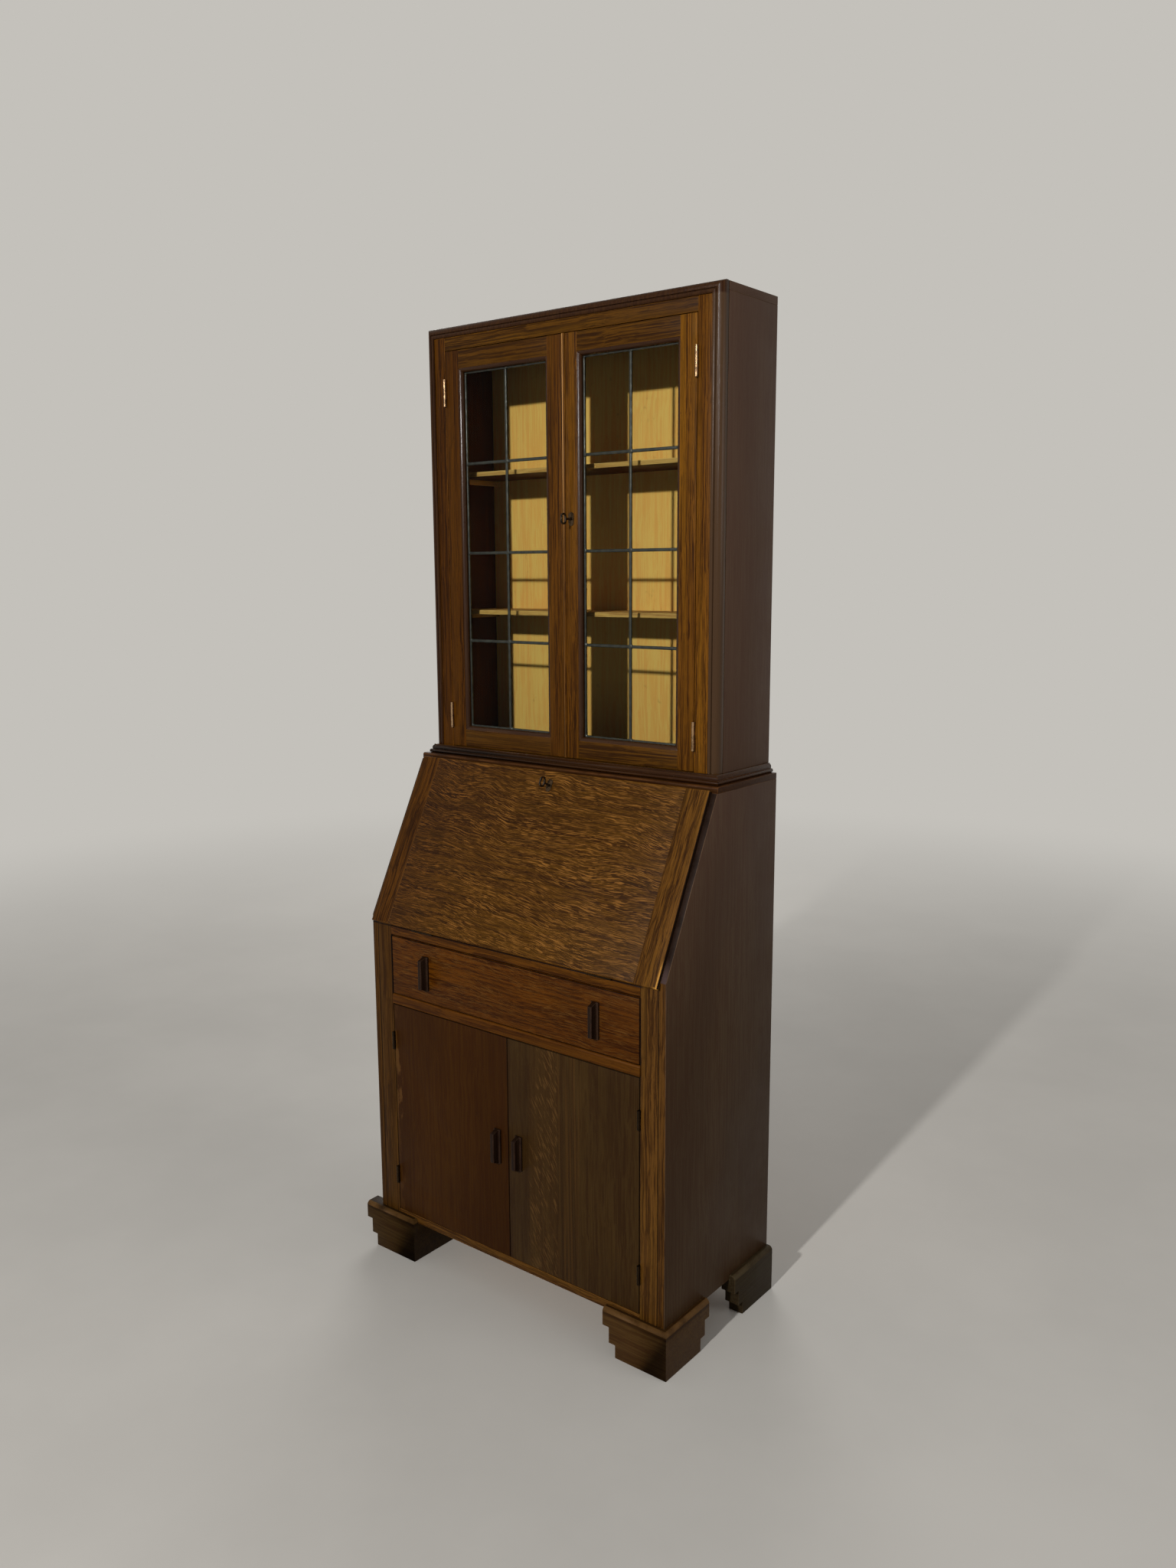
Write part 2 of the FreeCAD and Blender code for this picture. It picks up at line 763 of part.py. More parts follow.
def handle(middle_x, middle_z, face_y):
    """Upright bar: a base strip and a proud bar whose ends are bevelled."""
    half = handle_length / 2
    base_half = handle_width / 2
    bar_half = handle_bar_width / 2
    edge = handle_arris
    front = face_y - handle_reach
    base_y = face_y - handle_base
    section = prism([
        V(middle_x - base_half, face_y, 0), V(middle_x - base_half, base_y + edge, 0),
        V(middle_x - base_half + edge, base_y, 0), V(middle_x - bar_half, base_y, 0),
        V(middle_x - bar_half, front + edge, 0), V(middle_x - bar_half + edge, front, 0),
        V(middle_x + bar_half - edge, front, 0), V(middle_x + bar_half, front + edge, 0),
        V(middle_x + bar_half, base_y, 0), V(middle_x + base_half - edge, base_y, 0),
        V(middle_x + base_half, base_y + edge, 0), V(middle_x + base_half, face_y, 0)],
        V(0, 0, overall_height))
    left = middle_x - base_half
    side = prism([
        V(left, face_y, middle_z - half), V(left, base_y, middle_z - half),
        V(left, front, middle_z - half + handle_bevel), V(left, front, middle_z + half - handle_bevel),
        V(left, base_y, middle_z + half), V(left, face_y, middle_z + half)],
        V(handle_width, 0, 0))
    return section.common(side)


# Drawer

drawer_half = opening_half - leaf_gap


def drawer_front():
    front = block((-drawer_half, drawer_half), (0, drawer_front_thickness),
                  (drawer_floor + leaf_gap, drawer_ceiling - leaf_gap))
    groove = drawer_groove_block()
    return front.cut(groove)


def drawer_side_span():
    """Height of the drawer's sides, which ride on the runners."""
    return drawer_floor + seat_gap, drawer_ceiling - drawer_side_drop


def drawer_groove_block():
    low = drawer_floor + seat_gap + drawer_bottom_rise
    half = drawer_half - drawer_side_thickness + drawer_groove
    return block((-half, half), (drawer_front_thickness - drawer_groove, drawer_depth + overrun),
                 (low, low + drawer_bottom_thickness))


def drawer_side():
    side = block((drawer_half - drawer_side_thickness, drawer_half), (drawer_front_thickness, drawer_depth),
                 drawer_side_span())
    return side.cut(drawer_groove_block())


def drawer_back():
    low = drawer_floor + seat_gap + drawer_bottom_rise + drawer_bottom_thickness
    half = drawer_half - drawer_side_thickness
    return block((-half, half), (drawer_depth - drawer_side_thickness, drawer_depth), (low, drawer_side_span()[1]))


def drawer_bottom():
    low = drawer_floor + seat_gap + drawer_bottom_rise
    half = drawer_half - drawer_side_thickness + drawer_groove
    return block((-half, half), (drawer_front_thickness - drawer_groove, drawer_depth),
                 (low, low + drawer_bottom_thickness))


# Cupboard doors

def lower_door():
    """Right cupboard door, a flat slab recessed for its hinges."""
    slab = block((meeting_half, opening_half - leaf_gap), (0, lower_door_thickness),
                 (base_rail_top + leaf_gap, cupboard_top - leaf_gap))
    return without(slab, [hinge["moving_recess"] for hinge in lower_hinges[1]])


# Pigeonholes

def pigeonhole_rack():
    """Ends, dividers, top board and letter shelves, standing on the writing board."""
    half = inner_half - rack_end_gap
    front = back_front - rack_depth
    y = (front, back_front)
    top_z = writing_height + rack_height
    upright_top = top_z - rack_board
    boards = [block((-half, half), y, (upright_top, top_z))]
    pitch = (2 * half - rack_board) / rack_cells
    for index in range(rack_cells + 1):
        x = -half + pitch * index
        boards.append(block((x, x + rack_board), y, (writing_height, upright_top)))
    shelf_z = writing_height + rack_letter_height
    for index in range(rack_cells):
        if index % 2 == 0:
            x = -half + pitch * index
            boards.append(block((x + rack_board, x + pitch), y, (shelf_z, shelf_z + rack_board)))
    return boards


# Bookcase carcass

def edge_profile(place):
    """Section of the edge moulding: an inner bead, a quirk and an outer round over a step.
    "place" turns a distance out from the inner edge and a depth from the front into a point."""
    bead = edge_bead
    rise = bead * (1 - sqrt(2) / 2)
    start = 2 * bead + edge_quirk
    radius = edge_width - start
    low = edge_quirk
    bow = radius * (1 - sqrt(2) / 2)
    step_depth = edge_depth - 2 * edge_groove
    return face_of([
        place(0, edge_depth), place(0, bead), (place(rise, rise), place(bead, 0)),
        (place(2 * bead - rise, rise), place(2 * bead, bead)), place(start, bead), place(start, low),
        (place(edge_width - bow, low + bow), place(edge_width, low + radius)),
        place(edge_width, step_depth), place(edge_width - edge_groove, step_depth),
        place(edge_width - edge_groove, edge_depth)])


def hutch_edge_moulding():
    """Two uprights and a top length, mitred at the top corners."""
    def upright_place(out, depth):
        return V(edge_inner_half + out, hutch_front + depth, hutch_floor_top)

    def top_place(out, depth):
        return V(-hutch_half, hutch_front + depth, hutch_rail_top + out)

    y0 = hutch_front - overrun
    through = V(0, edge_depth + 2 * overrun, 0)
    upright = edge_profile(upright_place).extrude(V(0, 0, overall_height - hutch_floor_top))
    keep = prism([V(edge_inner_half, y0, hutch_floor_top), V(hutch_half, y0, hutch_floor_top),
                  V(hutch_half, y0, overall_height), V(edge_inner_half, y0, hutch_rail_top)], through)
    top = edge_profile(top_place).extrude(V(2 * hutch_half, 0, 0))
    keep_top = prism([V(-edge_inner_half, y0, hutch_rail_top), V(edge_inner_half, y0, hutch_rail_top),
                      V(hutch_half, y0, overall_height), V(-hutch_half, y0, overall_height)], through)
    right = upright.common(keep)
    return [right, flipped(right), top.common(keep_top)]


def waist_profile(place):
    """Section of the waist moulding: a torus at the foot, a step and an ovolo above it."""
    reach = waist_projection
    torus = waist_height * torus_share / 2
    inset = reach - torus
    ledge = 2 * torus + edge_quirk
    lip = reach * lip_share
    rise = waist_height - edge_quirk - ledge
    shoulder = inset - edge_quirk / 2
    diagonal = sqrt(2) / 2
    return face_of([
        place(0, 0), place(inset, 0), (place(reach, torus), place(inset, 2 * torus)),
        place(shoulder, 2 * torus), place(shoulder, ledge),
        (place(lip + (shoulder - lip) * diagonal, ledge + rise * diagonal), place(lip, ledge + rise)),
        place(lip, waist_height), place(0, waist_height)])


torus_share = 0.42
lip_share = 0.25


def waist_moulding():
    """Front length and two returns, mitred at the front corners."""
    def front_place(out, up):
        return V(-hutch_half - waist_projection, hutch_front - out, desk_height + up)

    def side_place(out, up):
        return V(hutch_half + out, hutch_front - waist_projection, desk_height + up)

    outer = hutch_half + waist_projection
    front_y = hutch_front - waist_projection
    z = V(0, 0, waist_height)
    front = waist_profile(front_place).extrude(V(2 * outer, 0, 0))
    keep_front = prism([V(-outer, front_y, desk_height), V(outer, front_y, desk_height),
                        V(hutch_half, hutch_front, desk_height), V(-hutch_half, hutch_front, desk_height)], z)
    side = waist_profile(side_place).extrude(V(0, carcass_depth - front_y, 0))
    keep_side = prism([V(hutch_half, hutch_front, desk_height), V(outer, front_y, desk_height),
                       V(outer, carcass_depth, desk_height), V(hutch_half, carcass_depth, desk_height)], z)
    right = side.common(keep_side)
    return [front.common(keep_front), right, flipped(right)]


def hutch_stile():
    stile = block((hutch_opening_half, edge_inner_half), (door_face, door_face + frame_thickness),
                  (hutch_floor_top, hutch_rail_top))
    return without(stile, [hinge["fixed_recess"] for hinge in upper_hinges[1]])


def shelf_levels():
    """Undersides of the bookcase shelves, which stand a little above equal bays."""
    clear = hutch_top_underside - hutch_floor_top - hutch_shelf_count * hutch_shelf_thickness
    bay = clear / (hutch_shelf_count + 1)
    first = hutch_floor_top + bay + hutch_shelf_lift
    return [first + (bay + hutch_shelf_thickness) * i for i in range(hutch_shelf_count)]


def hutch_shelves():
    front = door_face + upper_door_thickness + shelf_setback
    half = hutch_inner_half - seat_gap
    y = (front, back_front - seat_gap)
    return [block((-half, half), y, (z, z + hutch_shelf_thickness)) for z in shelf_levels()]


def shelf_cleats():
    """Right-hand strips that the bookcase shelves rest on."""
    front = door_face + upper_door_thickness + shelf_setback + hutch_cleat_section
    x = (hutch_inner_half - hutch_cleat_section, hutch_inner_half)
    return [block(x, (front, back_front), (z - hutch_cleat_section, z)) for z in shelf_levels()]


def hutch_side():
    return block((hutch_inner_half, hutch_half), (edge_back, carcass_depth), (hutch_floor_top, hutch_top_underside))


# Leaded doors

sight_plain = door_frame_width - ovolo_width
door_left_x = meeting_half
door_right_x = hutch_opening_half - leaf_gap


def ring_side(edge, width, lengthwise):
    """Mitred strip round the inside of the door frame, seen from the front, as a prism.
    "edge" is the distance of its outer line from the door's outer edges."""
    low_x = door_left_x + edge
    high_x = door_right_x - edge
    low_z = upper_door_bottom + edge
    high_z = upper_door_top - edge
    y = door_face - overrun
    corners = [V(low_x, y, low_z), V(high_x, y, low_z), V(high_x, y, high_z), V(low_x, y, high_z)]
    inner = [V(low_x + width, y, low_z + width), V(high_x - width, y, low_z + width),
             V(high_x - width, y, high_z - width), V(low_x + width, y, high_z - width)]
    first = lengthwise
    second = (lengthwise + 1) % 4
    return prism([corners[first], corners[second], inner[second], inner[first]],
                 V(0, upper_door_thickness + 2 * overrun, 0))


def ovolo_bar(index):
    """Moulded inner edge of one frame member: 0 bottom, 1 right, 2 top, 3 left."""
    def place(inward, depth):
        y = door_face + depth
        if index == 0:
            return V(door_left_x, y, upper_door_bottom + sight_plain + inward)
        if index == 1:
            return V(door_right_x - sight_plain - inward, y, upper_door_bottom)
        if index == 2:
            return V(door_left_x, y, upper_door_top - sight_plain - inward)
        return V(door_left_x + sight_plain + inward, y, upper_door_bottom)

    radius = ovolo_width - ovolo_step
    bow = radius * (1 - sqrt(2) / 2)
    section = face_of([
        place(0, ovolo_step), place(ovolo_step, ovolo_step),
        (place(ovolo_width - bow, ovolo_step + bow), place(ovolo_width, ovolo_width)),
        place(ovolo_width, glass_setback), place(0, glass_setback)])
    across = door_right_x - door_left_x
    upward = upper_door_top - upper_door_bottom
    travel = V(across, 0, 0) if index % 2 == 0 else V(0, 0, upward)
    return section.extrude(travel).common(ring_side(sight_plain, ovolo_width, index))


def glazing_bead(index):
    """Plain strip that holds the leaded panel in its rebate."""
    start = door_face + glass_setback + seat_gap + lead_thickness() + seat_gap
    width = ovolo_width - glazing_bead_gap
    depth = block((door_left_x, door_right_x), (start, door_face + upper_door_thickness),
                  (upper_door_bottom, upper_door_top))
    return ring_side(sight_plain, width, index).common(depth)


def lead_thickness():
    return 2 * came_flange + came_heart


def door_stiles():
    """Hinge and meeting stiles of the right door with their beads."""
    y = (door_face, door_face + upper_door_thickness)
    z = (upper_door_bottom, upper_door_top)
    hinge_stile = block((door_right_x - sight_plain, door_right_x), y, z)
    hinge_stile = without(hinge_stile, [hinge["moving_recess"] for hinge in upper_hinges[1]])
    meeting_stile = block((door_left_x, door_left_x + sight_plain), y, z)
    return [joined([meeting_stile, ovolo_bar(3)]), joined([hinge_stile, ovolo_bar(1)]),
            glazing_bead(3), glazing_bead(1)]


def door_rails():
    x = (door_left_x + sight_plain, door_right_x - sight_plain)
    y = (door_face, door_face + upper_door_thickness)
    bottom = block(x, y, (upper_door_bottom, upper_door_bottom + sight_plain))
    top = block(x, y, (upper_door_top - sight_plain, upper_door_top))
    return [joined([bottom, ovolo_bar(0)]), joined([top, ovolo_bar(2)]), glazing_bead(0), glazing_bead(2)]


def meeting_bead():
    """Half-round bead along the right door's meeting edge."""
    low = upper_door_bottom
    left = door_left_x
    right = left + meeting_bead_width
    y = door_face
    middle = V((left + right) / 2, y - meeting_bead_proud, low)
    return prism([V(left, y, low), (middle, V(right, y, low))], V(0, 0, upper_door_top - upper_door_bottom))


def pane_windows(bury):
    """The panes' openings as spans of X and Z, each grown by what is buried in the lead."""
    low_x = door_left_x + sight_plain + panel_edge_gap + border_came
    high_x = door_right_x - sight_plain - panel_edge_gap - border_came
    low_z = upper_door_bottom + sight_plain + panel_edge_gap + border_came
    high_z = upper_door_top - sight_plain - panel_edge_gap - border_came
    pitch_x = (high_x - low_x + inner_came) / pane_columns
    pitch_z = (high_z - low_z + inner_came) / pane_rows
    windows = []
    for column in range(pane_columns):
        for row in range(pane_rows):
            x = low_x + pitch_x * column
            z = low_z + pitch_z * row
            windows.append(((x - bury, x + pitch_x - inner_came + bury), (z - bury, z + pitch_z - inner_came + bury)))
    return windows


def lead_sheet(start, thickness, bury):
    edge = sight_plain + panel_edge_gap
    sheet = block((door_left_x + edge, door_right_x - edge), (start, start + thickness),
                  (upper_door_bottom + edge, upper_door_top - edge))
    holes = [block(x, (start - overrun, start + overrun), z) for x, z in pane_windows(bury)]
    return without(sheet, holes)


def lead_cames():
    """Lead grid of H section: two flanges with a narrower heart between them."""
    front = door_face + glass_setback + seat_gap
    return joined([lead_sheet(front, came_flange, 0), lead_sheet(front + came_flange, came_heart, pane_bury),
                   lead_sheet(front + came_flange + came_heart, came_flange, 0)])


def panes():
    middle = door_face + glass_setback + seat_gap + lead_thickness() / 2
    y = (middle - pane_thickness / 2, middle + pane_thickness / 2)
    return [block(x, y, z) for x, z in pane_windows(pane_bury - pane_edge_gap)]


def lock_cuts():
    """What the door lock takes out of the right meeting stile: its pocket and the keyhole."""
    x, y, z = door_lock_place()
    hole = rod(key_radius + key_hole_gap, door_key_spot - V(0, overrun, 0), V(0, 2 * overrun, 0))
    return [block((x[0] - overrun, x[1]), (y[0], y[1] + overrun), z), hole]


def bolt_mortise():
    """Pocket in the left door's meeting edge that the door's bolt shoots into."""
    x, y, z = door_bolt_place()
    gap = leaf_gap
    return block((x[0] - door_bolt_throw - 2 * gap, 0), (y[0] - gap, y[1] + gap / 2), (z[0] - gap, z[1] + gap))


def build():
    """Writes every sub-part."""
    os.makedirs("parts", exist_ok=True)
    side = desk_side()
    save("desk_side_right", [side])
    save("desk_side_left", [flipped(side)])
    stile = desk_stile()
    save("desk_stiles", [stile, flipped(stile)])
    save("fall_rail", [fall_rail()])
    save("drawer_rail", [nosed_rail(opening_half, -drawer_rail_proud, frame_thickness, cupboard_top,
                                    drawer_floor, rail_nose)])
    save("base_rail", [block((-opening_half, opening_half), (0, frame_thickness), (carcass_base, base_rail_top))])
    save("desk_top", [desk_top()])
    save("desk_back", [block((-inner_half, inner_half), (back_front, carcass_depth), (carcass_base, desk_underside))])
    save("writing_board", [writing_board()])
    battens = side_battens()
    save("side_battens", battens + [flipped(piece) for piece in battens])
    save("cupboard_shelf", [cupboard_shelf()])
    save("cupboard_floor", [block((-inner_half, inner_half), (frame_thickness, back_front),
                                  (base_rail_top - shelf_thickness, base_rail_top))])
    save("foot_front_right", bracket_foot(half_width + foot_proud))
    save("foot_front_left", bracket_foot(foot_length - half_width - odd_foot_overhang))
    foot = back_foot()
    save("feet_back", [foot, flipped(foot)])
    save("pigeonhole_rack", pigeonhole_rack())
    guide = stay_guide()
    save("stay_guides", [guide, flipped(guide)])

    hutch = hutch_side()
    save("hutch_side_right", [hutch])
    save("hutch_side_left", [flipped(hutch)])
    save("hutch_top", [block((-hutch_half, hutch_half), (edge_back, carcass_depth),
                             (hutch_top_underside, overall_height))])
    save("hutch_floor", [block((-hutch_half, hutch_half), (hutch_front, carcass_depth),
                               (desk_height, hutch_floor_top))])
    save("hutch_edge_moulding", hutch_edge_moulding())
    stile = hutch_stile()
    save("hutch_stiles", [stile, flipped(stile)])
    save("hutch_top_rail", [block((-hutch_opening_half, hutch_opening_half),
                                  (door_face, door_face + frame_thickness), (hutch_opening_top, hutch_rail_top))])
    save("waist_moulding", waist_moulding())
    save("hutch_back", [block((-hutch_inner_half, hutch_inner_half), (back_front, carcass_depth),
                              (hutch_floor_top, hutch_top_underside))])
    save("hutch_shelves", hutch_shelves())
    cleats = shelf_cleats()
    save("shelf_cleats", cleats + [flipped(cleat) for cleat in cleats])
    all_hinges = fall_hinges + [hinge for group in (upper_hinges, lower_hinges) for s in (-1, 1) for hinge in group[s]]
    save("frame_hinge_leaves", [hinge["fixed"] for hinge in all_hinges])

    save("fall_panel", [fall_panel()])
    clamp = fall_clamp()
    save("fall_clamps", [clamp, flipped(clamp)])
    save("fall_hinge_leaves", [hinge["moving"] for hinge in fall_hinges])
    arm = stay()
    save("fall_stays", [arm, flipped(arm)])
    save("fall_lock", fall_lock())
    save("fall_key", [placed_at(key(), fall_key_spot, **fall_key_axes)])
    save("fall_bolt", [fall_bolt()])

    save("drawer_front", [drawer_front()])
    board = drawer_side()
    save("drawer_sides", [board, flipped(board)])
    save("drawer_back", [drawer_back()])
    save("drawer_bottom", [drawer_bottom()])
    drawer_middle = (drawer_floor + drawer_ceiling) / 2
    pull = handle(drawer_half - drawer_handle_inset, drawer_middle, 0)
    save("drawer_handles", [pull, flipped(pull)])

    door = lower_door()
    save("lower_door_right", [door])
    save("lower_door_left", [flipped(door)])
    pull = handle(meeting_offset, cupboard_middle, 0)
    save("lower_handle_right", [pull])
    save("lower_handle_left", [flipped(pull)])
    save("lower_right_hinge_leaves", [hinge["moving"] for hinge in lower_hinges[1]])
    save("lower_left_hinge_leaves", [hinge["moving"] for hinge in lower_hinges[-1]])

    stiles = door_stiles()
    rails = door_rails()
    cames = lead_cames()
    glass = panes()
    right_stiles = [joined([without(stiles[0], lock_cuts()), meeting_bead()])] + stiles[1:]
    left_stiles = [flipped(piece) for piece in stiles]
    left_stiles[0] = left_stiles[0].cut(bolt_mortise())
    save("upper_right_stiles", right_stiles)
    save("upper_left_stiles", left_stiles)
    for name, pieces in (("rails", rails), ("cames", [cames]), ("glass", glass)):
        save("upper_right_" + name, pieces)
        save("upper_left_" + name, [flipped(piece) for piece in pieces])
    save("upper_right_hinge_leaves", [hinge["moving"] for hinge in upper_hinges[1]])
    save("upper_left_hinge_leaves", [hinge["moving"] for hinge in upper_hinges[-1]])
    save("door_lock", door_lock())
    save("door_key", [placed_at(key(), door_key_spot, **door_key_axes)])
    save("door_bolt", [block(*door_bolt_place())])
    print("nodes written:", node_count)


build()
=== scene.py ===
import json
import math

import bmesh
import bpy
from mathutils import Matrix, Vector


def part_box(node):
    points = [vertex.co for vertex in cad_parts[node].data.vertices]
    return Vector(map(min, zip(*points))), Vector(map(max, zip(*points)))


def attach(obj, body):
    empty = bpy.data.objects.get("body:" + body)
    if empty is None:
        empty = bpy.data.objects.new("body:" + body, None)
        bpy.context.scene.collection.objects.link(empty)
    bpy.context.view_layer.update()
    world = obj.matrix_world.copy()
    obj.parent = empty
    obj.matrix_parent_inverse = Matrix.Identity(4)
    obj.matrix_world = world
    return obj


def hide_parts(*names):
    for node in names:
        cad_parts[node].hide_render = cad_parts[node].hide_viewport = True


bl_info = {
    "name": "Bureau Bookcase",
    "version": (1, 0, 0),
    "blender": (4, 5, 0),
    "location": "3D View > Sidebar > Bureau",
    "description": "Dresses a bureau bookcase in oak, leaded glass and aged brass",
    "category": "Object",
}

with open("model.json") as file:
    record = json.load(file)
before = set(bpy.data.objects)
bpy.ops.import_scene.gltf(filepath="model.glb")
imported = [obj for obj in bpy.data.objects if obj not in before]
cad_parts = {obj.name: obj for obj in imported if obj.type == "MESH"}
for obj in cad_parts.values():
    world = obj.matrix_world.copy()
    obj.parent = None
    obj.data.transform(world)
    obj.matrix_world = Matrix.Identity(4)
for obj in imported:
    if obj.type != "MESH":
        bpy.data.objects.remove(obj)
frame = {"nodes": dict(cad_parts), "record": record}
bodies = frame["record"]["behaviour"]["bodies"]
body_of_node = {node: body for body, nodes in bodies.items() for node in nodes}
slot_of_node = {part["node"]: part["material_slot"] for part in frame["record"]["subparts"]}
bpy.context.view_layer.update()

# All lengths are in metres. The front of the piece looks along -Y.
FALL_SLOPE = math.radians(26.7)
FRONT = (0.0, -1.0, 0.0)
BACK = (0.0, 1.0, 0.0)
LEFT = (-1.0, 0.0, 0.0)
RIGHT = (1.0, 0.0, 0.0)
DOWN = (0.0, 0.0, -1.0)
SLOPE_OUT = (0.0, -math.cos(FALL_SLOPE), math.sin(FALL_SLOPE))

DESK_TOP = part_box("desk_top")[1].z
GLAZED_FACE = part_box("upper_left_rails")[0].y
BEAD_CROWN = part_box("upper_right_stiles")[0].x + 0.0036


def shade(red, green, blue):
    """A colour as a paint chart gives it, in 0 to 255, as the linear light that shaders use."""
    def linear(value):
        value /= 255
        return value / 12.92 if value <= 0.04045 else ((value + 0.055) / 1.055) ** 2.4
    return (linear(red), linear(green), linear(blue))


def colour_choice(name, description, chart):
    return bpy.props.FloatVectorProperty(name=name, description=description, subtype="COLOR", size=3,
                                         min=0.0, max=1.0, default=shade(*chart))


class BureauOak(bpy.types.PropertyGroup):
    """Colours of the stained oak and how worn it is."""

    side: colour_choice("Sides", "Stain on the side panels", (60, 43, 28))
    frame: colour_choice("Frame", "Stain on the desk's stiles and base rail", (71, 44, 14))
    rail: colour_choice("Drawer rails", "Stain on the rails over and under the drawer", (66, 35, 4))
    fall: colour_choice("Fall", "Stain on the sloping fall", (63, 37, 5))
    clamp: colour_choice("Clamps", "Stain on the end clamps of the fall", (74, 45, 11))
    # Near-black, partly a dark stain and partly painted shade in the gap beside the fall's clamps
    clamp_edge: colour_choice("Clamps' edges", "Stain on the clamps' outer edges and the desk's slopes",
                              (26, 16, 11))
    drawer: colour_choice("Drawer", "Stain on the drawer front", (65, 32, 2))
    left_door: colour_choice("Left door", "Stain on the left cupboard door", (51, 27, 3))
    right_door: colour_choice("Right door", "Stain on the right cupboard door", (50, 33, 13))
    glazed_rail: colour_choice("Bookcase rails", "Stain on the rails of the bookcase and its doors", (62, 36, 4))
    glazed: colour_choice("Bookcase stiles", "Stain on the stiles of the bookcase and its doors", (82, 48, 7))
    inside: colour_choice("Inside", "Stain inside the bookcase", (66, 24, 3))
    moulding: colour_choice("Mouldings", "Stain on the mouldings and the desk top", (48, 26, 8))
    handle: colour_choice("Handles", "Stain on the bar handles", (28, 16, 9))
    back_foot: colour_choice("Back feet", "Stain on the back feet", (42, 33, 20))
    foot: colour_choice("Feet", "Stain on the front feet", (64, 43, 20))
    pine: colour_choice("Pine", "Bare softwood inside", (176, 132, 80))
    plywood: colour_choice("Back boards", "Bare plywood of the backs", (234, 180, 104))
    wear: bpy.props.FloatProperty(name="Wear", description="How pale the arrises have worn",
                                  min=0.0, max=1.0, default=0.5, subtype="FACTOR")
    arris: bpy.props.FloatProperty(name="Arris", description="Width of the eased edges",
                                   min=0.0001, max=0.003, default=0.0009, unit="LENGTH")


class BureauMetal(bpy.types.PropertyGroup):
    """Colours of the brass, steel, lead and glass."""

    brass: colour_choice("Brass", "Aged brass of the hinges, stays and locks", (156, 126, 94))
    steel: colour_choice("Steel", "Worn steel of the keys and bolts", (82, 74, 66))
    lead: colour_choice("Lead", "Lead of the glazing bars", (54, 56, 50))
    glass: colour_choice("Glass", "Tint of the sheet glass", (238, 243, 236))


class BureauStage(bpy.types.PropertyGroup):
    """Camera, floor and lamps."""

    camera_place: bpy.props.FloatVectorProperty(name="Camera", description="Where the camera stands",
                                                subtype="XYZ", unit="LENGTH", size=3,
                                                default=(1.5734, -1.8977, 1.4740))
    heading: bpy.props.FloatProperty(name="Heading", unit="ROTATION", default=math.radians(-38.237),
                                     description="Turn of the view, from straight ahead to the right")
    tilt: bpy.props.FloatProperty(name="Tilt", description="Upward tilt of the view", unit="ROTATION",
                                  default=math.radians(-9.663))
    roll: bpy.props.FloatProperty(name="Roll", description="Roll of the view", unit="ROTATION",
                                  default=math.radians(-0.278))
    lens: bpy.props.FloatProperty(name="Lens", description="Focal length in millimetres", min=1.0, default=28.35)
    floor: colour_choice("Floor", "Colour of the floor", (184, 180, 173))
    backdrop: colour_choice("Backdrop", "Colour that the camera sees behind the piece", (196, 193, 187))
    ambient: bpy.props.FloatProperty(name="Ambient", description="Strength of the light from all round",
                                     min=0.0, default=0.26)
    key_power: bpy.props.FloatProperty(name="Lamps", description="Power in watts that the lamps take shares of",
                                       min=0.0, default=90.0)


def oak():
    return bpy.context.scene.bureau_oak


def metal():
    return bpy.context.scene.bureau_metal


def stage():
    return bpy.context.scene.bureau_stage


# Shader nodes

def put(tree, kind, inputs=None, **settings):
    """Adds a shader node, makes its settings and fills or links its inputs."""
    made = tree.nodes.new(kind)
    for key, value in settings.items():
        setattr(made, key, value)
    for key, value in (inputs or {}).items():
        socket = made.inputs[key]
        if isinstance(value, bpy.types.NodeSocket):
            tree.links.new(value, socket)
        else:
            socket.default_value = value
    return made


def join(tree, sockets, values):
    """Links values to sockets by their names."""
    for name, value in values.items():
        tree.links.new(value, sockets[name])


def reckon(tree, operation, *values, clamp=False):
    """Arithmetic on values or sockets."""
    return put(tree, "ShaderNodeMath", dict(enumerate(values)), operation=operation, use_clamp=clamp).outputs[0]


def times(tree, *values):
    """The product of several values or sockets."""
    product = values[0]
    for value in values[1:]:
        product = reckon(tree, "MULTIPLY", product, value)
    return product


def flipped(tree, mask):
    """1 where a mask is 0, and 0 where it is 1."""
    return reckon(tree, "SUBTRACT", 1.0, mask)


def centred(tree, value):
    """A value of 0 to 1 moved to lie round 0."""
    return reckon(tree, "SUBTRACT", value, 0.5)


def reckon_vector(tree, operation, *vectors):
    """Arithmetic on vectors, which gives a vector, or a value for a length."""
    made = put(tree, "ShaderNodeVectorMath", dict(enumerate(vectors)), operation=operation)
    return made.outputs["Value" if operation == "LENGTH" else "Vector"]


def ramp(tree, value, low, high):
    """Turns a value into 0 below one level and 1 above another, with a soft step between."""
    made = put(tree, "ShaderNodeMapRange", {"Value": value, "From Min": low, "From Max": high},
               interpolation_type="SMOOTHSTEP")
    return made.outputs["Result"]


def between(tree, value, low, high, soft):
    """1 where a value lies between two levels, with soft ends."""
    return reckon(tree, "SUBTRACT", ramp(tree, value, low - soft, low + soft),
                  ramp(tree, value, high - soft, high + soft))


def noise(tree, vector, rates, detail=3.0, roughness=0.55, distortion=0.0):
    """Noise with its own rate along each axis, or one rate for all, in waves per unit."""
    rates = rates if isinstance(rates, tuple) else (rates, rates, rates)
    made = put(tree, "ShaderNodeTexNoise", {
        "Vector": reckon_vector(tree, "MULTIPLY", vector, rates), "Scale": 1.0, "Detail": detail,
        "Roughness": roughness, "Distortion": distortion})
    return made.outputs["Fac"]


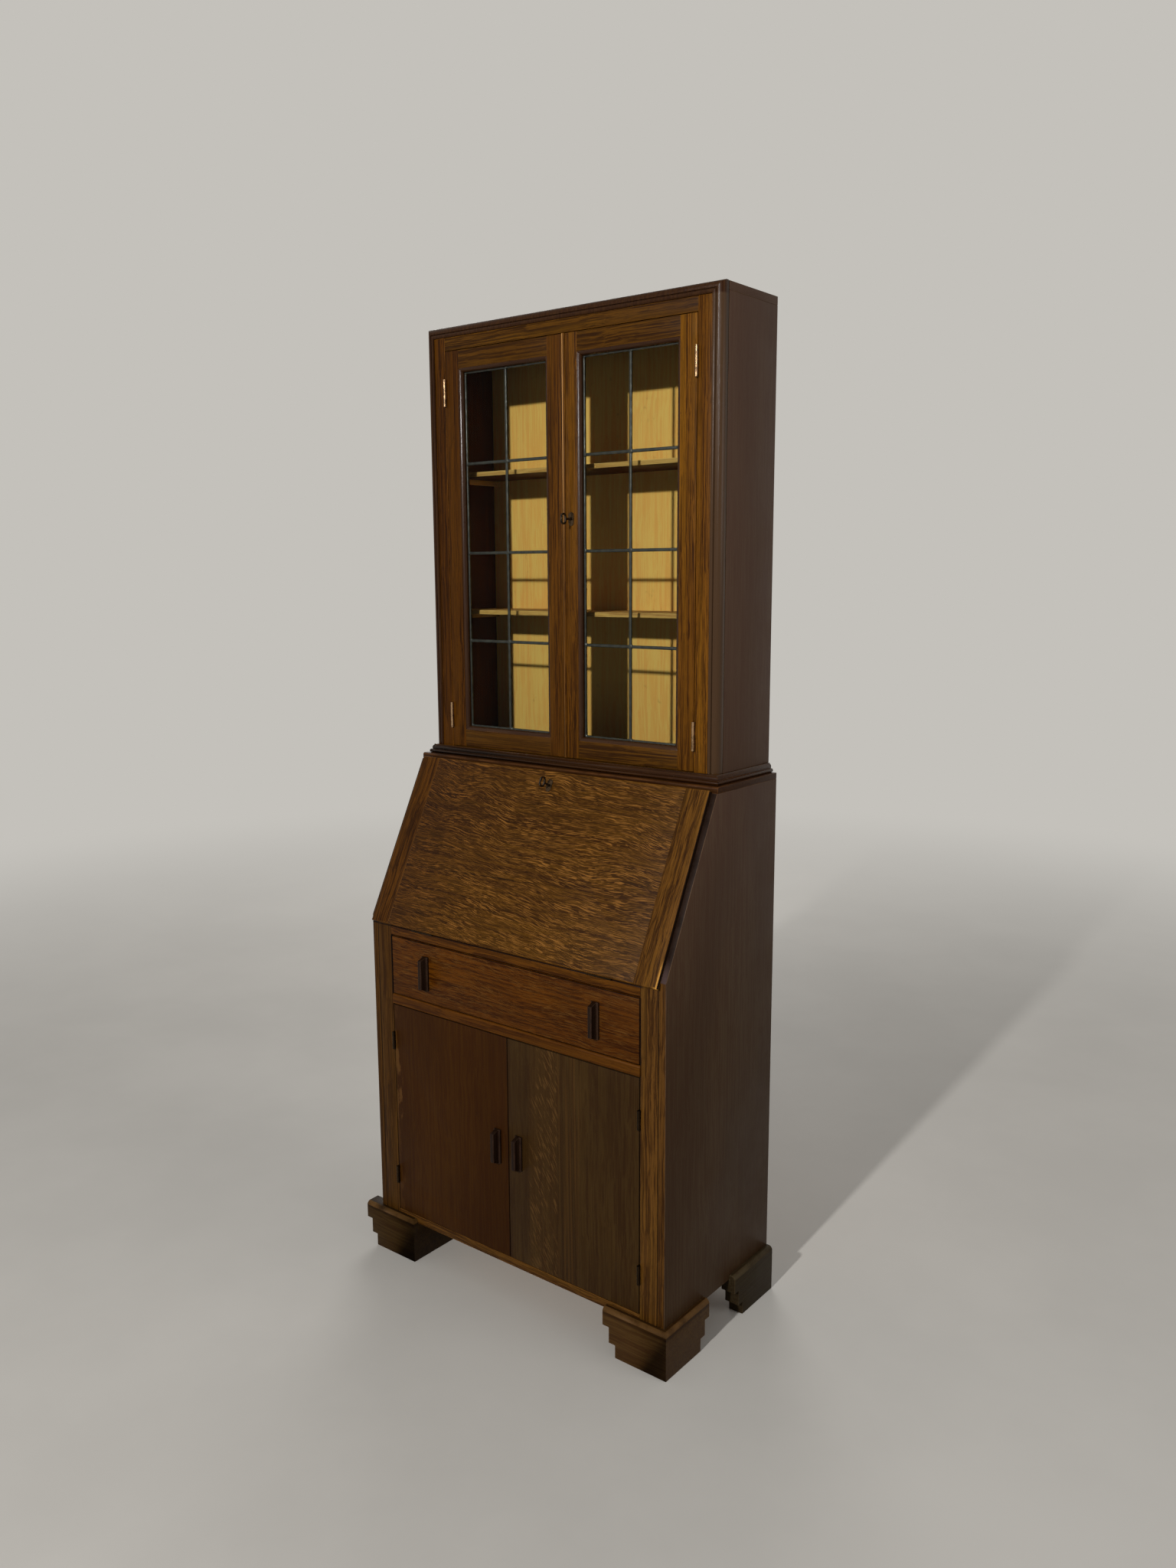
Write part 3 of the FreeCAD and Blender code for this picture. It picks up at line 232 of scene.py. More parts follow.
def blend_colour(tree, factor, low, high, kind="MIX"):
    """Blends two colours, each a socket or three numbers."""
    low, high = ((*colour, 1.0) if isinstance(colour, tuple) else colour for colour in (low, high))
    return put(tree, "ShaderNodeMix", {0: factor, 6: low, 7: high}, data_type="RGBA", blend_type=kind).outputs[2]


def tinted(tree, surface, mask, strength, colour):
    """Lays a colour over a surface where a mask is, at part of its strength."""
    return blend_colour(tree, times(tree, mask, strength), surface, colour)


def object_place(tree):
    """Object coordinates, which are metres in the frame."""
    return put(tree, "ShaderNodeTexCoord").outputs["Object"]


def split(tree, vector):
    """The X, Y and Z of a vector, by their names."""
    return put(tree, "ShaderNodeSeparateXYZ", {0: vector}).outputs


def attribute(tree, name):
    """A number that the mesh holds for each face."""
    return put(tree, "ShaderNodeAttribute", attribute_name=name).outputs["Fac"]


def bump(tree, shader, height, strength, distance):
    """Roughens a shader's surface by a height."""
    made = put(tree, "ShaderNodeBump", {"Height": height, "Strength": strength, "Distance": distance})
    tree.links.new(made.outputs[0], shader.inputs["Normal"])


def toned(colour, factor, warmth=(1.0, 1.0, 1.0)):
    """A colour made lighter or darker, and then warmer or cooler, each part at most 1."""
    return tuple(min(1.0, min(1.0, part * factor) * share) for part, share in zip(colour, warmth))


SOCKET_KINDS = {"Vector": "NodeSocketVector", "Color": "NodeSocketColor", "Worn color": "NodeSocketColor"}


def new_group(name, inputs, outputs):
    """An empty node group. Inputs come with their defaults, where they have any."""
    tree = bpy.data.node_groups.new(name, "ShaderNodeTree")
    for label, default in inputs.items():
        kind = SOCKET_KINDS.get(label, "NodeSocketFloat")
        socket = tree.interface.new_socket(label, in_out="INPUT", socket_type=kind)
        if default is not None:
            socket.default_value = default
    for label in outputs:
        kind = SOCKET_KINDS.get(label, "NodeSocketFloat")
        tree.interface.new_socket(label, in_out="OUTPUT", socket_type=kind)
    return tree, tree.nodes.new("NodeGroupInput").outputs, tree.nodes.new("NodeGroupOutput").inputs


def group_node(tree, name, inputs):
    """The outputs of a node group that is given these inputs."""
    return put(tree, "ShaderNodeGroup", inputs, node_tree=bpy.data.node_groups[name]).outputs


GRAIN_SWAY = 0.016
FINE_SHARE = 0.38
PORE_DEPTH = 0.6


def bent_grain(tree, vector):
    """Coordinates that wander a little to the sides as they run along the grain."""
    sway = times(tree, centred(tree, noise(tree, vector, (7.0, 9.0, 9.0), 2.0)), GRAIN_SWAY)
    shift = put(tree, "ShaderNodeCombineXYZ", {"Y": sway, "Z": sway}).outputs[0]
    return reckon_vector(tree, "ADD", vector, shift)


def make_oak_grain():
    """Straight grain along X: streaks, bands, pores and slow changes of tone, and the height of its lines."""
    tree, given, out = new_group("Oak grain", {"Vector": None}, ("Streaks", "Bands", "Pores", "Tone", "Height"))
    vector = given["Vector"]
    bent = bent_grain(tree, vector)
    middling = noise(tree, bent, (4.0, 200.0, 200.0), 3.0, 0.6)
    fine = noise(tree, bent, (10.0, 620.0, 620.0), 2.0, 0.6)
    streaks = reckon(tree, "ADD", times(tree, middling, 1 - FINE_SHARE), times(tree, fine, FINE_SHARE))
    pores = ramp(tree, noise(tree, bent, (48.0, 900.0, 900.0), 2.0, 0.6), 0.55, 0.68)
    join(tree, out, {
        "Streaks": ramp(tree, streaks, 0.43, 0.57),
        "Bands": ramp(tree, noise(tree, bent, (1.3, 38.0, 38.0), 2.0, 0.5), 0.46, 0.62),
        "Pores": pores,
        "Tone": ramp(tree, noise(tree, vector, (2.0, 6.0, 6.0), 3.0, 0.5), 0.34, 0.66),
        "Height": reckon(tree, "SUBTRACT", times(tree, fine, 0.5), times(tree, pores, PORE_DEPTH))})


DASHES_PER_METRE = 34.0
DEPTH_RATE = 60.0
DRIFT_REACH = 0.08
WAVE_REACH = 0.006
SHORT_DASH_SHARE = 0.75


def make_ray_flecks():
    """Rays of quarter-sawn oak: short thin dashes that lean a little across the grain, no two as bright."""
    tree, given, out = new_group("Ray flecks", {"Vector": None, "Lean": 0.1, "Rows": 150.0}, ("Flecks", "Gaps"))
    vector = given["Vector"]
    parts = split(tree, vector)
    drift = centred(tree, noise(tree, vector, (3.0, 5.0, 5.0), 2.0))
    wave = centred(tree, noise(tree, vector, (22.0, 26.0, 26.0), 1.0))
    wander = reckon(tree, "MULTIPLY_ADD", drift, DRIFT_REACH, times(tree, wave, WAVE_REACH))
    rise = reckon(tree, "ADD", times(tree, parts["X"], given["Lean"]), wander)
    rows = times(tree, reckon(tree, "ADD", parts["Z"], rise), given["Rows"])
    place = put(tree, "ShaderNodeCombineXYZ", {"X": times(tree, parts["X"], DASHES_PER_METRE),
                                               "Y": times(tree, parts["Y"], DEPTH_RATE), "Z": rows}).outputs[0]
    long, short = (ramp(tree, noise(tree, place, rates, 0.0), 0.61, 0.68) for rates in (1.0, (1.9, 1.5, 1.7)))
    dashes = reckon(tree, "MAXIMUM", long, times(tree, short, SHORT_DASH_SHARE))
    lively = ramp(tree, noise(tree, place, (0.3, 0.5, 0.06), 2.0, 0.5), 0.3, 0.62)
    join(tree, out, {"Flecks": times(tree, dashes, reckon(tree, "MULTIPLY_ADD", lively, 0.65, 0.35)),
                     "Gaps": ramp(tree, noise(tree, place, (0.45, 1.0, 1.3), 0.0), 0.58, 0.66)})


GRIME = (0.01, 0.006, 0.004)
SEAM_DIRT = (0.004, 0.002, 0.001)
GLOSS_SWING = 0.3


def make_wax_and_wear():
    """Pale arrises for wear and painted highlights, dark joints, handling marks and old wax over a wood colour.
    """
    tree, given, out = new_group(
        "Wax and wear", {"Color": None, "Vector": None, "Arris": 0.0, "Seam": 0.0, "Worn color": None,
                         "Wear": 0.5, "Roughness": 0.45}, ("Color", "Roughness"))
    vector = given["Vector"]
    patchy = ramp(tree, noise(tree, vector, 22.0, 4.0, 0.65), 0.3, 0.62)
    marks = ramp(tree, noise(tree, vector, 60.0, 5.0, 0.7), 0.62, 0.75)
    stained = tinted(tree, given["Color"], marks, 0.25, GRIME)
    rubbed = blend_colour(tree, times(tree, given["Arris"], patchy, given["Wear"]), stained, given["Worn color"])
    gloss = times(tree, centred(tree, noise(tree, vector, 9.0, 3.0, 0.6)), GLOSS_SWING)
    join(tree, out, {"Color": tinted(tree, rubbed, given["Seam"], 0.9, SEAM_DIRT),
                     "Roughness": reckon(tree, "ADD", given["Roughness"], gloss, clamp=True)})


def new_material(name, roughness, specular=0.5, metallic=0.0):
    """A material with one Principled shader, whose plain numbers stand on its own sockets."""
    material = bpy.data.materials.new(name)
    material.use_nodes = True
    tree = material.node_tree
    tree.nodes.clear()
    shader = put(tree, "ShaderNodeBsdfPrincipled", {"Roughness": roughness, "Specular IOR Level": specular,
                                                    "Metallic": metallic})
    put(tree, "ShaderNodeOutputMaterial", {0: shader.outputs[0]})
    return material, tree, shader


def mixed(tree, factor, first, second):
    """One shader or the other, by a factor."""
    return put(tree, "ShaderNodeMixShader", {0: factor, 1: first, 2: second}).outputs[0]


def show_instead(tree, shader):
    """Sends another shader to a material's output."""
    end = next(made for made in tree.nodes if made.type == "OUTPUT_MATERIAL")
    tree.links.new(shader, end.inputs[0])


GRAIN_TURNS = {"X": (0.0, 0.0, 0.0), "Y": (0.0, 0.0, math.radians(-90)), "Z": (0.0, math.radians(90), 0.0),
               "slope": (FALL_SLOPE, math.radians(90), 0.0)}
BOARD_LIFT = 1.7
STREAK_DARK = 0.62
STREAK_LIGHT = 0.75
GAP_SHARE = 0.65


def along_grain(tree, grain):
    """Object coordinates turned so that the grain runs along X, and shifted for each board."""
    place = object_place(tree)
    board_number = attribute(tree, "board")
    turned = put(tree, "ShaderNodeMapping", {"Vector": place, "Rotation": GRAIN_TURNS[grain]}).outputs[0]
    shift = put(tree, "ShaderNodeCombineXYZ", {"X": board_number, "Y": board_number,
                                               "Z": times(tree, board_number, BOARD_LIFT)}).outputs[0]
    return reckon_vector(tree, "ADD", turned, shift)


def wood(name, grain, colour, contrast=1.0, bands=0.3, tone=0.35, flecks=0.0, lean=0.1, rows=150.0,
         fleck_light=0.45, fine=1.0, pores=0.5, roughness=0.45, specular=0.06, worn=2.6, marks=()):
    """One stained or bare wood with its grain along one direction."""
    material, tree, shader = new_material(name, roughness, specular)
    moved = along_grain(tree, grain)
    figure = group_node(tree, "Oak grain", {"Vector": reckon_vector(tree, "MULTIPLY", moved, (1.0, fine, fine))})
    dark = toned(colour, 1 - STREAK_DARK * contrast, (1.05, 0.92, 0.8))
    light = toned(colour, 1 + STREAK_LIGHT * contrast, (1.0, 1.06, 1.0))
    pore = toned(colour, 0.3)
    surface = blend_colour(tree, figure["Streaks"], dark, light)
    surface = tinted(tree, surface, figure["Bands"], bands, toned(colour, 2.2, (1.0, 1.15, 0.8)))
    surface = tinted(tree, surface, figure["Tone"], tone, toned(colour, 0.5, (1.1, 0.9, 0.8)))
    if flecks:
        ray = group_node(tree, "Ray flecks", {"Vector": moved, "Lean": lean, "Rows": rows})
        surface = tinted(tree, surface, ray["Gaps"], GAP_SHARE * flecks, pore)
        surface = tinted(tree, surface, ray["Flecks"], flecks, toned(oak().pine, fleck_light, (1.05, 0.82, 0.42)))
    surface = tinted(tree, surface, figure["Pores"], pores, pore)
    for mark in marks:
        surface = mark(tree, surface, colour)
    # The arrises' pale colour stands for wear and, where worn is high, also for painted highlights
    finish = group_node(tree, "Wax and wear", {
        "Color": surface, "Vector": moved, "Arris": attribute(tree, "arris"), "Seam": attribute(tree, "seam"),
        "Worn color": (*toned(colour, worn, (1.0, 1.05, 1.1)), 1.0), "Wear": oak().wear, "Roughness": roughness})
    join(tree, shader.inputs, {"Base Color": finish["Color"], "Roughness": finish["Roughness"]})
    bump(tree, shader, figure["Height"], 0.18, 0.0006)
    return material


# Marks that the photo shows, at their places. Each takes a tree, the surface so far and the wood's stain.
# Some of them are painted highlights, painted reflections and painted shade.

FIGURED_BOARD = (0.066, 0.138)
STRIPES_WIDTH = 0.055
RAY_TURN = (0.0, math.radians(28), 0.0)


def figured_board(tree, surface, colour):
    """The right door's board of stronger figure: steep rays, and pale stripes beside it."""
    place = object_place(tree)
    parts = split(tree, place)
    sway = centred(tree, noise(tree, place, (5.0, 5.0, 3.0), 2.0))
    across = reckon(tree, "MULTIPLY_ADD", sway, 0.02, parts["X"])
    figured = between(tree, across, *FIGURED_BOARD, 0.006)
    surface = tinted(tree, surface, figured, 0.2, toned(colour, 1.5, (1.1, 1.0, 0.7)))
    turned = put(tree, "ShaderNodeMapping", {"Vector": place, "Rotation": RAY_TURN}).outputs[0]
    rays = ramp(tree, noise(tree, turned, (330.0, 80.0, 44.0), 1.5, 0.5, 0.2), 0.53, 0.64)
    patches = ramp(tree, noise(tree, place, (24.0, 20.0, 8.0), 2.0), 0.3, 0.5)
    surface = tinted(tree, surface, times(tree, rays, patches, figured), 0.62, toned(colour, 2.8))
    stripes = ramp(tree, noise(tree, place, (130.0, 130.0, 2.0), 2.0), 0.48, 0.6)
    beside = between(tree, across, FIGURED_BOARD[1], FIGURED_BOARD[1] + STRIPES_WIDTH, 0.008)
    return tinted(tree, surface, times(tree, stripes, beside), 0.4, toned(colour, 1.9, (1.05, 1.0, 0.8)))


HINGE_EDGE = -0.312
SCUFF_REACH = (0.006, 0.012)
SCUFF_HEIGHTS = (0.31, 0.52)


def scuffed_hinge_edge(tree, surface, _):
    """Ragged pale scuffs down the left door's hinge edge, where the stain has rubbed through."""
    place = object_place(tree)
    parts = split(tree, place)
    ragged = centred(tree, noise(tree, place, (70.0, 60.0, 18.0), 4.0, 0.65))
    edge = flipped(tree, ramp(tree, reckon(tree, "MULTIPLY_ADD", ragged, 0.07, parts["X"]),
                              *(HINGE_EDGE + reach for reach in SCUFF_REACH)))
    tall = reckon(tree, "MULTIPLY_ADD", between(tree, parts["Z"], *SCUFF_HEIGHTS, 0.03), 0.6, 0.25)
    torn = ramp(tree, noise(tree, place, (30.0, 30.0, 12.0), 4.0, 0.6), 0.4, 0.5)
    return blend_colour(tree, times(tree, edge, torn, tall), surface, toned(oak().pine, 0.18, (1.0, 0.8, 0.5)))


WORN_HIGHLIGHT_CORNER = (0.382, -0.19, 0.765)
CORNER_STRETCH = (1.6, 0.5, 0.5)
CORNER_REACH = (0.010, 0.025)


def worn_corner_highlight(tree, surface, colour):
    """The right clamp's lower corner, rubbed bare by years of opening the fall, with a pale bluish painted
    highlight along its arris.
    """
    place = object_place(tree)
    away = reckon_vector(tree, "MULTIPLY", reckon_vector(tree, "SUBTRACT", place, WORN_HIGHLIGHT_CORNER), CORNER_STRETCH)
    near = flipped(tree, ramp(tree, reckon_vector(tree, "LENGTH", away), *CORNER_REACH))
    highlight_mask = times(tree, near, attribute(tree, "arris"))
    return blend_colour(tree, highlight_mask, surface, toned(colour, 7.0, (1.0, 1.25, 1.8)))


# Near-black of the painted shadow under the fall and the painted shade in the gaps round the drawer
JOINT_SHADE_COLOUR = (0.004, 0.002, 0.002)


def painted_joint_shadows(tree, surface, colour):
    """Painted shadow in a band under the fall, painted shade in the gaps round the drawer, and a darker left
    stile.
    """
    parts = split(tree, object_place(tree))
    across, height = parts["X"], parts["Z"]
    low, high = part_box("fall_rail")
    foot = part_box("drawer_front")[0].z
    # Painted shadow under the fall's overhang, and painted shade in the gaps over and beside the drawer
    under_fall = between(tree, height, high.z - 0.0032, high.z + 0.003, 0.0006)
    over_drawer = between(tree, height, low.z - 0.003, low.z + 0.0018, 0.0005)
    beside = reckon(tree, "ADD", between(tree, across, low.x - 0.0018, low.x + 0.002, 0.0004),
                    between(tree, across, high.x - 0.002, high.x + 0.0018, 0.0004))
    beside = times(tree, beside, between(tree, height, foot, low.z, 0.002))
    before_right_stile = flipped(tree, ramp(tree, across, high.x, high.x + 0.01))
    shade_mask = reckon(tree, "ADD", times(tree, under_fall, before_right_stile),
                  times(tree, over_drawer, between(tree, across, low.x, high.x, 0.001)))
    shade_mask = reckon(tree, "ADD", shade_mask, beside, clamp=True)
    left = flipped(tree, ramp(tree, across, low.x - 0.004, low.x - 0.001))
    surface = tinted(tree, surface, left, 0.6, toned(colour, 0.4, (1.0, 0.9, 0.7)))
    return tinted(tree, surface, shade_mask, 0.9, JOINT_SHADE_COLOUR)


CRACK_HEIGHT = 0.8787
CRACK_DROP = 0.0304
CRACK_END = 0.06
CRACK_FADE = 0.03
CRACK_HALF_WIDTH = 0.0009


def hairline_crack(tree, surface, colour):
    """A thin dark line that runs along the grain of the fall's left half."""
    place = object_place(tree)
    parts = split(tree, place)
    height = reckon(tree, "MULTIPLY_ADD", parts["X"], -CRACK_DROP, parts["Z"])
    line = between(tree, height, CRACK_HEIGHT - CRACK_HALF_WIDTH, CRACK_HEIGHT + CRACK_HALF_WIDTH, 0.0004)
    broken = ramp(tree, noise(tree, place, 30.0), 0.36, 0.5)
    reach = flipped(tree, ramp(tree, parts["X"], CRACK_END - CRACK_FADE, CRACK_END))
    return tinted(tree, surface, times(tree, line, broken, reach), 0.85, toned(colour, 0.15))


def darker_at_left(low, high, stain):
    """Makes a mark: a darker tone left of one place, which fades out at another and lets the grain show."""
    def mark(tree, surface, _):
        parts = split(tree, object_place(tree))
        return blend_colour(tree, flipped(tree, ramp(tree, parts["X"], low, high)), surface, stain, "MULTIPLY")
    return mark


# The front left foot, the bookcase's left stiles and the fall's left end are darker towards the left.
left_foot_shade = darker_at_left(-0.1, 0.0, (0.62, 0.66, 0.66))
left_stile_shade = darker_at_left(-0.32, 0.45, (0.46, 0.4, 0.3))
left_fall_shade = darker_at_left(-0.4, 0.0, (0.58, 0.48, 0.3))


def shaded_foot_top(tree, surface, _):
    """Painted shade along the moulded tops of the feet, under the carcass."""
    parts = split(tree, object_place(tree))
    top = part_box("foot_front_right")[1].z
    mask = ramp(tree, parts["Z"], top - 0.017, top - 0.011)
    return blend_colour(tree, mask, surface, (0.52, 0.46, 0.38), "MULTIPLY")


def stronger_higher_up(tree, height, low, high, least, gain):
    """A share that grows from "least", by "gain", between two heights."""
    return reckon(tree, "MULTIPLY_ADD", ramp(tree, height, low, high), gain, least)


def painted_moulding_reflections(tree, surface, _):
    """A painted reflection makes the right corner's upright moulding as pale as the side, and a painted highlight
    runs down the left one's edge, stronger higher up.
    """
    parts = split(tree, object_place(tree))
    low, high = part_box("hutch_stiles")
    # Painted reflection on the right upright moulding
    corner = times(tree, ramp(tree, parts["X"], high.x, high.x + 0.002),
                   between(tree, parts["Z"], low.z, high.z, 0.002))
    surface = tinted(tree, surface, corner, 0.8, toned(oak().side, 1.25))
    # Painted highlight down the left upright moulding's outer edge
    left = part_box("hutch_edge_moulding")[0].x
    line = between(tree, parts["X"], left + 0.0016, left + 0.0044, 0.0007)
    proud = flipped(tree, ramp(tree, parts["Y"], GLAZED_FACE, GLAZED_FACE + 0.004))
    highlight_mask = times(tree, line, stronger_higher_up(tree, parts["Z"], 1.3, 1.75, 0.1, 0.55), proud)
    return blend_colour(tree, highlight_mask, surface, toned(oak().pine, 1.0, (0.75, 1.0, 1.6)))


def painted_sheen_higher_up(tree, surface, colour):
    """Painted light and a paler, bluer painted sheen on the sides, stronger towards the top."""
    parts = split(tree, object_place(tree))
    return tinted(tree, surface, ramp(tree, parts["Z"], 0.5, 1.3), 0.3, toned(colour, 2.3, (1.0, 1.04, 1.7)))


def painted_bead_highlight(tree, surface, _):
    """A painted highlight down the crown of the bead between the doors, stronger higher up."""
    parts = split(tree, object_place(tree))
    line = between(tree, parts["X"], BEAD_CROWN - 0.001, BEAD_CROWN + 0.0008, 0.0004)
    proud = flipped(tree, ramp(tree, parts["Y"], GLAZED_FACE - 0.0034, GLAZED_FACE - 0.0024))
    highlight_mask = times(tree, line, proud, stronger_higher_up(tree, parts["Z"], 1.5, 1.7, 0.15, 0.75))
    return blend_colour(tree, highlight_mask, surface, toned(oak().pine, 1.1))


def painted_sight_edge_highlight(tree, surface, _):
    """A painted highlight down the left moulding of each pane, stronger higher up."""
    parts = split(tree, object_place(tree))
    edges = [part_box(node)[0].x for node in ("upper_left_cames", "upper_right_cames")]
    lines = [between(tree, parts["X"], edge - 0.0046, edge - 0.0022, 0.0005) for edge in edges]
    highlight_mask = times(tree, reckon(tree, "ADD", *lines), stronger_higher_up(tree, parts["Z"], 1.45, 1.65, 0.2, 0.5))
    return blend_colour(tree, highlight_mask, surface, toned(oak().pine, 1.1, (0.8, 1.0, 1.8)))


# How the figure of each finish shows. Its stain is the setting of the same name, or the one named in "stain",
# toned as "toning" says.
FINISHES = {
    "side": dict(contrast=0.19, bands=0.0, tone=0.45, pores=0.15, roughness=0.42, marks=(painted_sheen_higher_up,)),
    "inside": dict(contrast=0.4, bands=0.0, tone=0.4, pores=0.3),
    "frame": dict(fine=1.3, marks=(painted_joint_shadows,)),
    "rail": dict(contrast=0.65, bands=0.35, tone=0.3, worn=2.2),
    "fall_rail": dict(stain="rail", contrast=0.8, tone=0.3, marks=(painted_joint_shadows,)),
    "fall": dict(contrast=0.7, bands=0.2, flecks=1.0, lean=0.09, rows=820.0, fleck_light=0.42,
                 marks=(hairline_crack, left_fall_shade)),
    "clamp": dict(contrast=1.1, bands=0.25, flecks=0.3, lean=0.05, rows=800.0, pores=0.6, worn=1.9,
                  marks=(worn_corner_highlight, left_fall_shade)),
    "clamp_edge": dict(contrast=0.3, bands=0.0, worn=3.0, marks=(worn_corner_highlight,)),
    "drawer": dict(contrast=0.8, bands=0.2, flecks=0.6, lean=0.03, rows=620.0, fleck_light=0.24),
    "left_door": dict(contrast=0.24, bands=0.0, tone=0.55, pores=0.15, marks=(scuffed_hinge_edge,)),
    "right_door": dict(contrast=0.33, bands=0.15, tone=0.45, pores=0.25, marks=(figured_board,)),
    "glazed": dict(contrast=1.15, bands=0.5, tone=0.45, pores=0.55, fine=1.7,
                   marks=(left_stile_shade, painted_bead_highlight)),
    "glazed_rail": dict(contrast=0.95, tone=0.5, fine=1.4),
    # The mouldings, sight edges and handles take high worn values, so their pale arrises are partly painted
    # highlights
    "moulding": dict(contrast=0.4, bands=0.0, pores=0.3, roughness=0.28, specular=0.12, worn=6.0,
                     marks=(painted_moulding_reflections,)),
    "sight": dict(stain="moulding", contrast=0.3, bands=0.0, pores=0.2, roughness=0.28, specular=0.2, worn=4.0,
                  marks=(painted_sight_edge_highlight,)),
    "top": dict(stain="moulding", contrast=0.4, bands=0.0, pores=0.3, roughness=0.4, worn=4.0),
    "handle": dict(contrast=0.4, bands=0.0, pores=0.3, roughness=0.36, specular=0.1, worn=5.0),
    "foot": dict(contrast=0.35, bands=0.1, tone=0.3, pores=0.3, roughness=0.5, worn=3.5,
                 marks=(left_foot_shade, shaded_foot_top)),
    "back_foot": dict(contrast=0.25, bands=0.0, tone=0.3, pores=0.2, roughness=0.5, worn=3.0),
    "pine": dict(contrast=0.3, bands=0.15, tone=0.2, pores=0.08, roughness=0.6),
    "plywood": dict(contrast=0.05, bands=0.03, tone=0.12, pores=0.03, roughness=0.62),
    "dusty_plywood": dict(stain="plywood", toning=(0.36, (1.0, 0.9, 0.85)), contrast=0.22, bands=0.1, tone=0.55,
                          pores=0.12, roughness=0.75),
}


def wood_for(finish, grain):
    """The material of a finish with its grain one way, made the first time it is asked for."""
    name = "wood_" + finish + "_" + grain
    if name not in bpy.data.materials:
        settings = dict(FINISHES[finish])
        colour = toned(getattr(oak(), settings.pop("stain", finish)), *settings.pop("toning", (1.0,)))
        wood(name, grain, colour, **settings)
    return bpy.data.materials[name]


# Boards: copies of the frame's solids with eased arrises

WELD = 0.00001
FLAT_ANGLE = math.radians(0.5)
ARRIS_ANGLE = math.radians(35)
CREASE_ANGLE = math.radians(28)
SEAM_REACH = 0.0016
ROUND_SHARE = 0.12
SQUARE_ON = 0.98
FACES_ALONG = 0.95
ROUNDED_WEAR_AND_SHEEN = 0.8
BOARD_SPREAD = (3.7, 5.3, 2.9)
BOARD_SHIFT = 9.0


def islands(mesh):
    """Groups of joined faces, in an order that is the same each time."""
    left = dict.fromkeys(mesh.faces)
    groups = []
    while left:
        queue = [left.popitem()[0]]
        group = list(queue)
        while queue:
            for edge in queue.pop().edges:
                for face in edge.link_faces:
                    if face in left:
                        del left[face]
                        queue.append(face)
                        group.append(face)
        groups.append(group)
    return groups


def longest_way(faces):
    """The axis that a board runs along, which its grain follows."""
    points = [vertex.co for face in faces for vertex in face.verts]
    spans = [max(p[i] for p in points) - min(p[i] for p in points) for i in range(3)]
    return "XYZ"[spans.index(max(spans))]


def bevel(mesh, edges, width, segments):
    """Rounds edges and gives back the new faces."""
    return bmesh.ops.bevel(mesh, geom=edges, offset=width, offset_type="OFFSET", affect="EDGES",
                           segments=segments, profile=0.5, material=-1, clamp_overlap=True)["faces"]


def crease(mesh, angle=CREASE_ANGLE):
    """Smooth shading everywhere but across the sharper edges."""
    for face in mesh.faces:
        face.smooth = True
    for edge in mesh.edges:
        edge.smooth = edge.calc_face_angle(0.0) < angle


def link_object(name, data):
    """Makes an object and puts it in the scene."""
    made = bpy.data.objects.new(name, data)
    bpy.context.scene.collection.objects.link(made)
    return made


def link_mesh(name, mesh):
    """Makes an object of a bmesh, and frees it."""
    data = bpy.data.meshes.new(name)
    mesh.to_mesh(data)
    mesh.free()
    return link_object(name, data)


def stand_in(node, suffix, mesh, materials):
    """Makes a piece of a bmesh, which takes the place of a CAD node on the same body."""
    piece = link_mesh(node + suffix, mesh)
    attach(piece, body_of_node[node])
    for material in materials:
        piece.data.materials.append(material)
    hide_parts(node)


def board(node, finish, grain=None, width=None, sight=None, others=(), seams=(), rounds=True):
    """Stands an eased copy of a CAD node in its place, with the grain along each of its boards.

    Faces that look along one of the directions in "others" get another finish, and those inside the box
    "sight" the dark moulding's. Arrises that lie in one of the planes in "seams", each an axis and a place
    on it, are dark joints. With "rounds" the narrow rounded faces get the arrises' pale colour, which stands
    for wear and for a painted highlight where they catch the light.
    """
    mesh = bmesh.new()
    mesh.from_mesh(frame["nodes"][node].data)
    bmesh.ops.remove_doubles(mesh, verts=mesh.verts, dist=WELD)
    bmesh.ops.dissolve_limit(mesh, angle_limit=FLAT_ANGLE, verts=mesh.verts, edges=mesh.edges, delimit={"NORMAL"})
    number, arris, seam = (mesh.faces.layers.float.new(name) for name in ("board", "arris", "seam"))
    ways = []
    for group in islands(mesh):
        way = grain or longest_way(group)
        if way not in ways:
            ways.append(way)
        middle = sum((face.calc_center_median() for face in group), Vector()) / len(group)
        spread = sum(part * share for part, share in zip(middle, BOARD_SPREAD))
        broad = max(face.calc_area() for face in group) * ROUND_SHARE
        for face in group:
            face.material_index = ways.index(way)
            face[number] = spread % 1.0 * BOARD_SHIFT
            if rounds and face.calc_area() < broad and max(abs(part) for part in face.normal) < SQUARE_ON:
                face[arris] = ROUNDED_WEAR_AND_SHEEN
    sharp = [edge for edge in mesh.edges
             if len(edge.link_faces) == 2 and edge.calc_face_angle(0.0) > ARRIS_ANGLE]
    for face in bevel(mesh, sharp, width or oak().arris, segments=2):
        face[arris] = 1.0
        spot = face.calc_center_median()
        if any(abs(spot[axis] - place) < SEAM_REACH for axis, place in seams):
            face[arris], face[seam] = 0.0, 1.0
    finishes_used = [finish] * len(ways)
    for direction, other in others:
        for face in mesh.faces:
            if face.normal.dot(Vector(direction)) > FACES_ALONG:
                face.material_index = len(finishes_used)
        finishes_used.append(other)
    if sight:
        mark_sight_edge(mesh, sight, len(finishes_used))
        finishes_used.append("sight")
    crease(mesh)
    stand_in(node, "_" + finish, mesh, [wood_for(used, ways[min(index, len(ways) - 1)])
                                        for index, used in enumerate(finishes_used)])


def boards(finish, *nodes, **choices):
    """Dresses several nodes alike."""
    for node in nodes:
        board(node, finish, **choices)


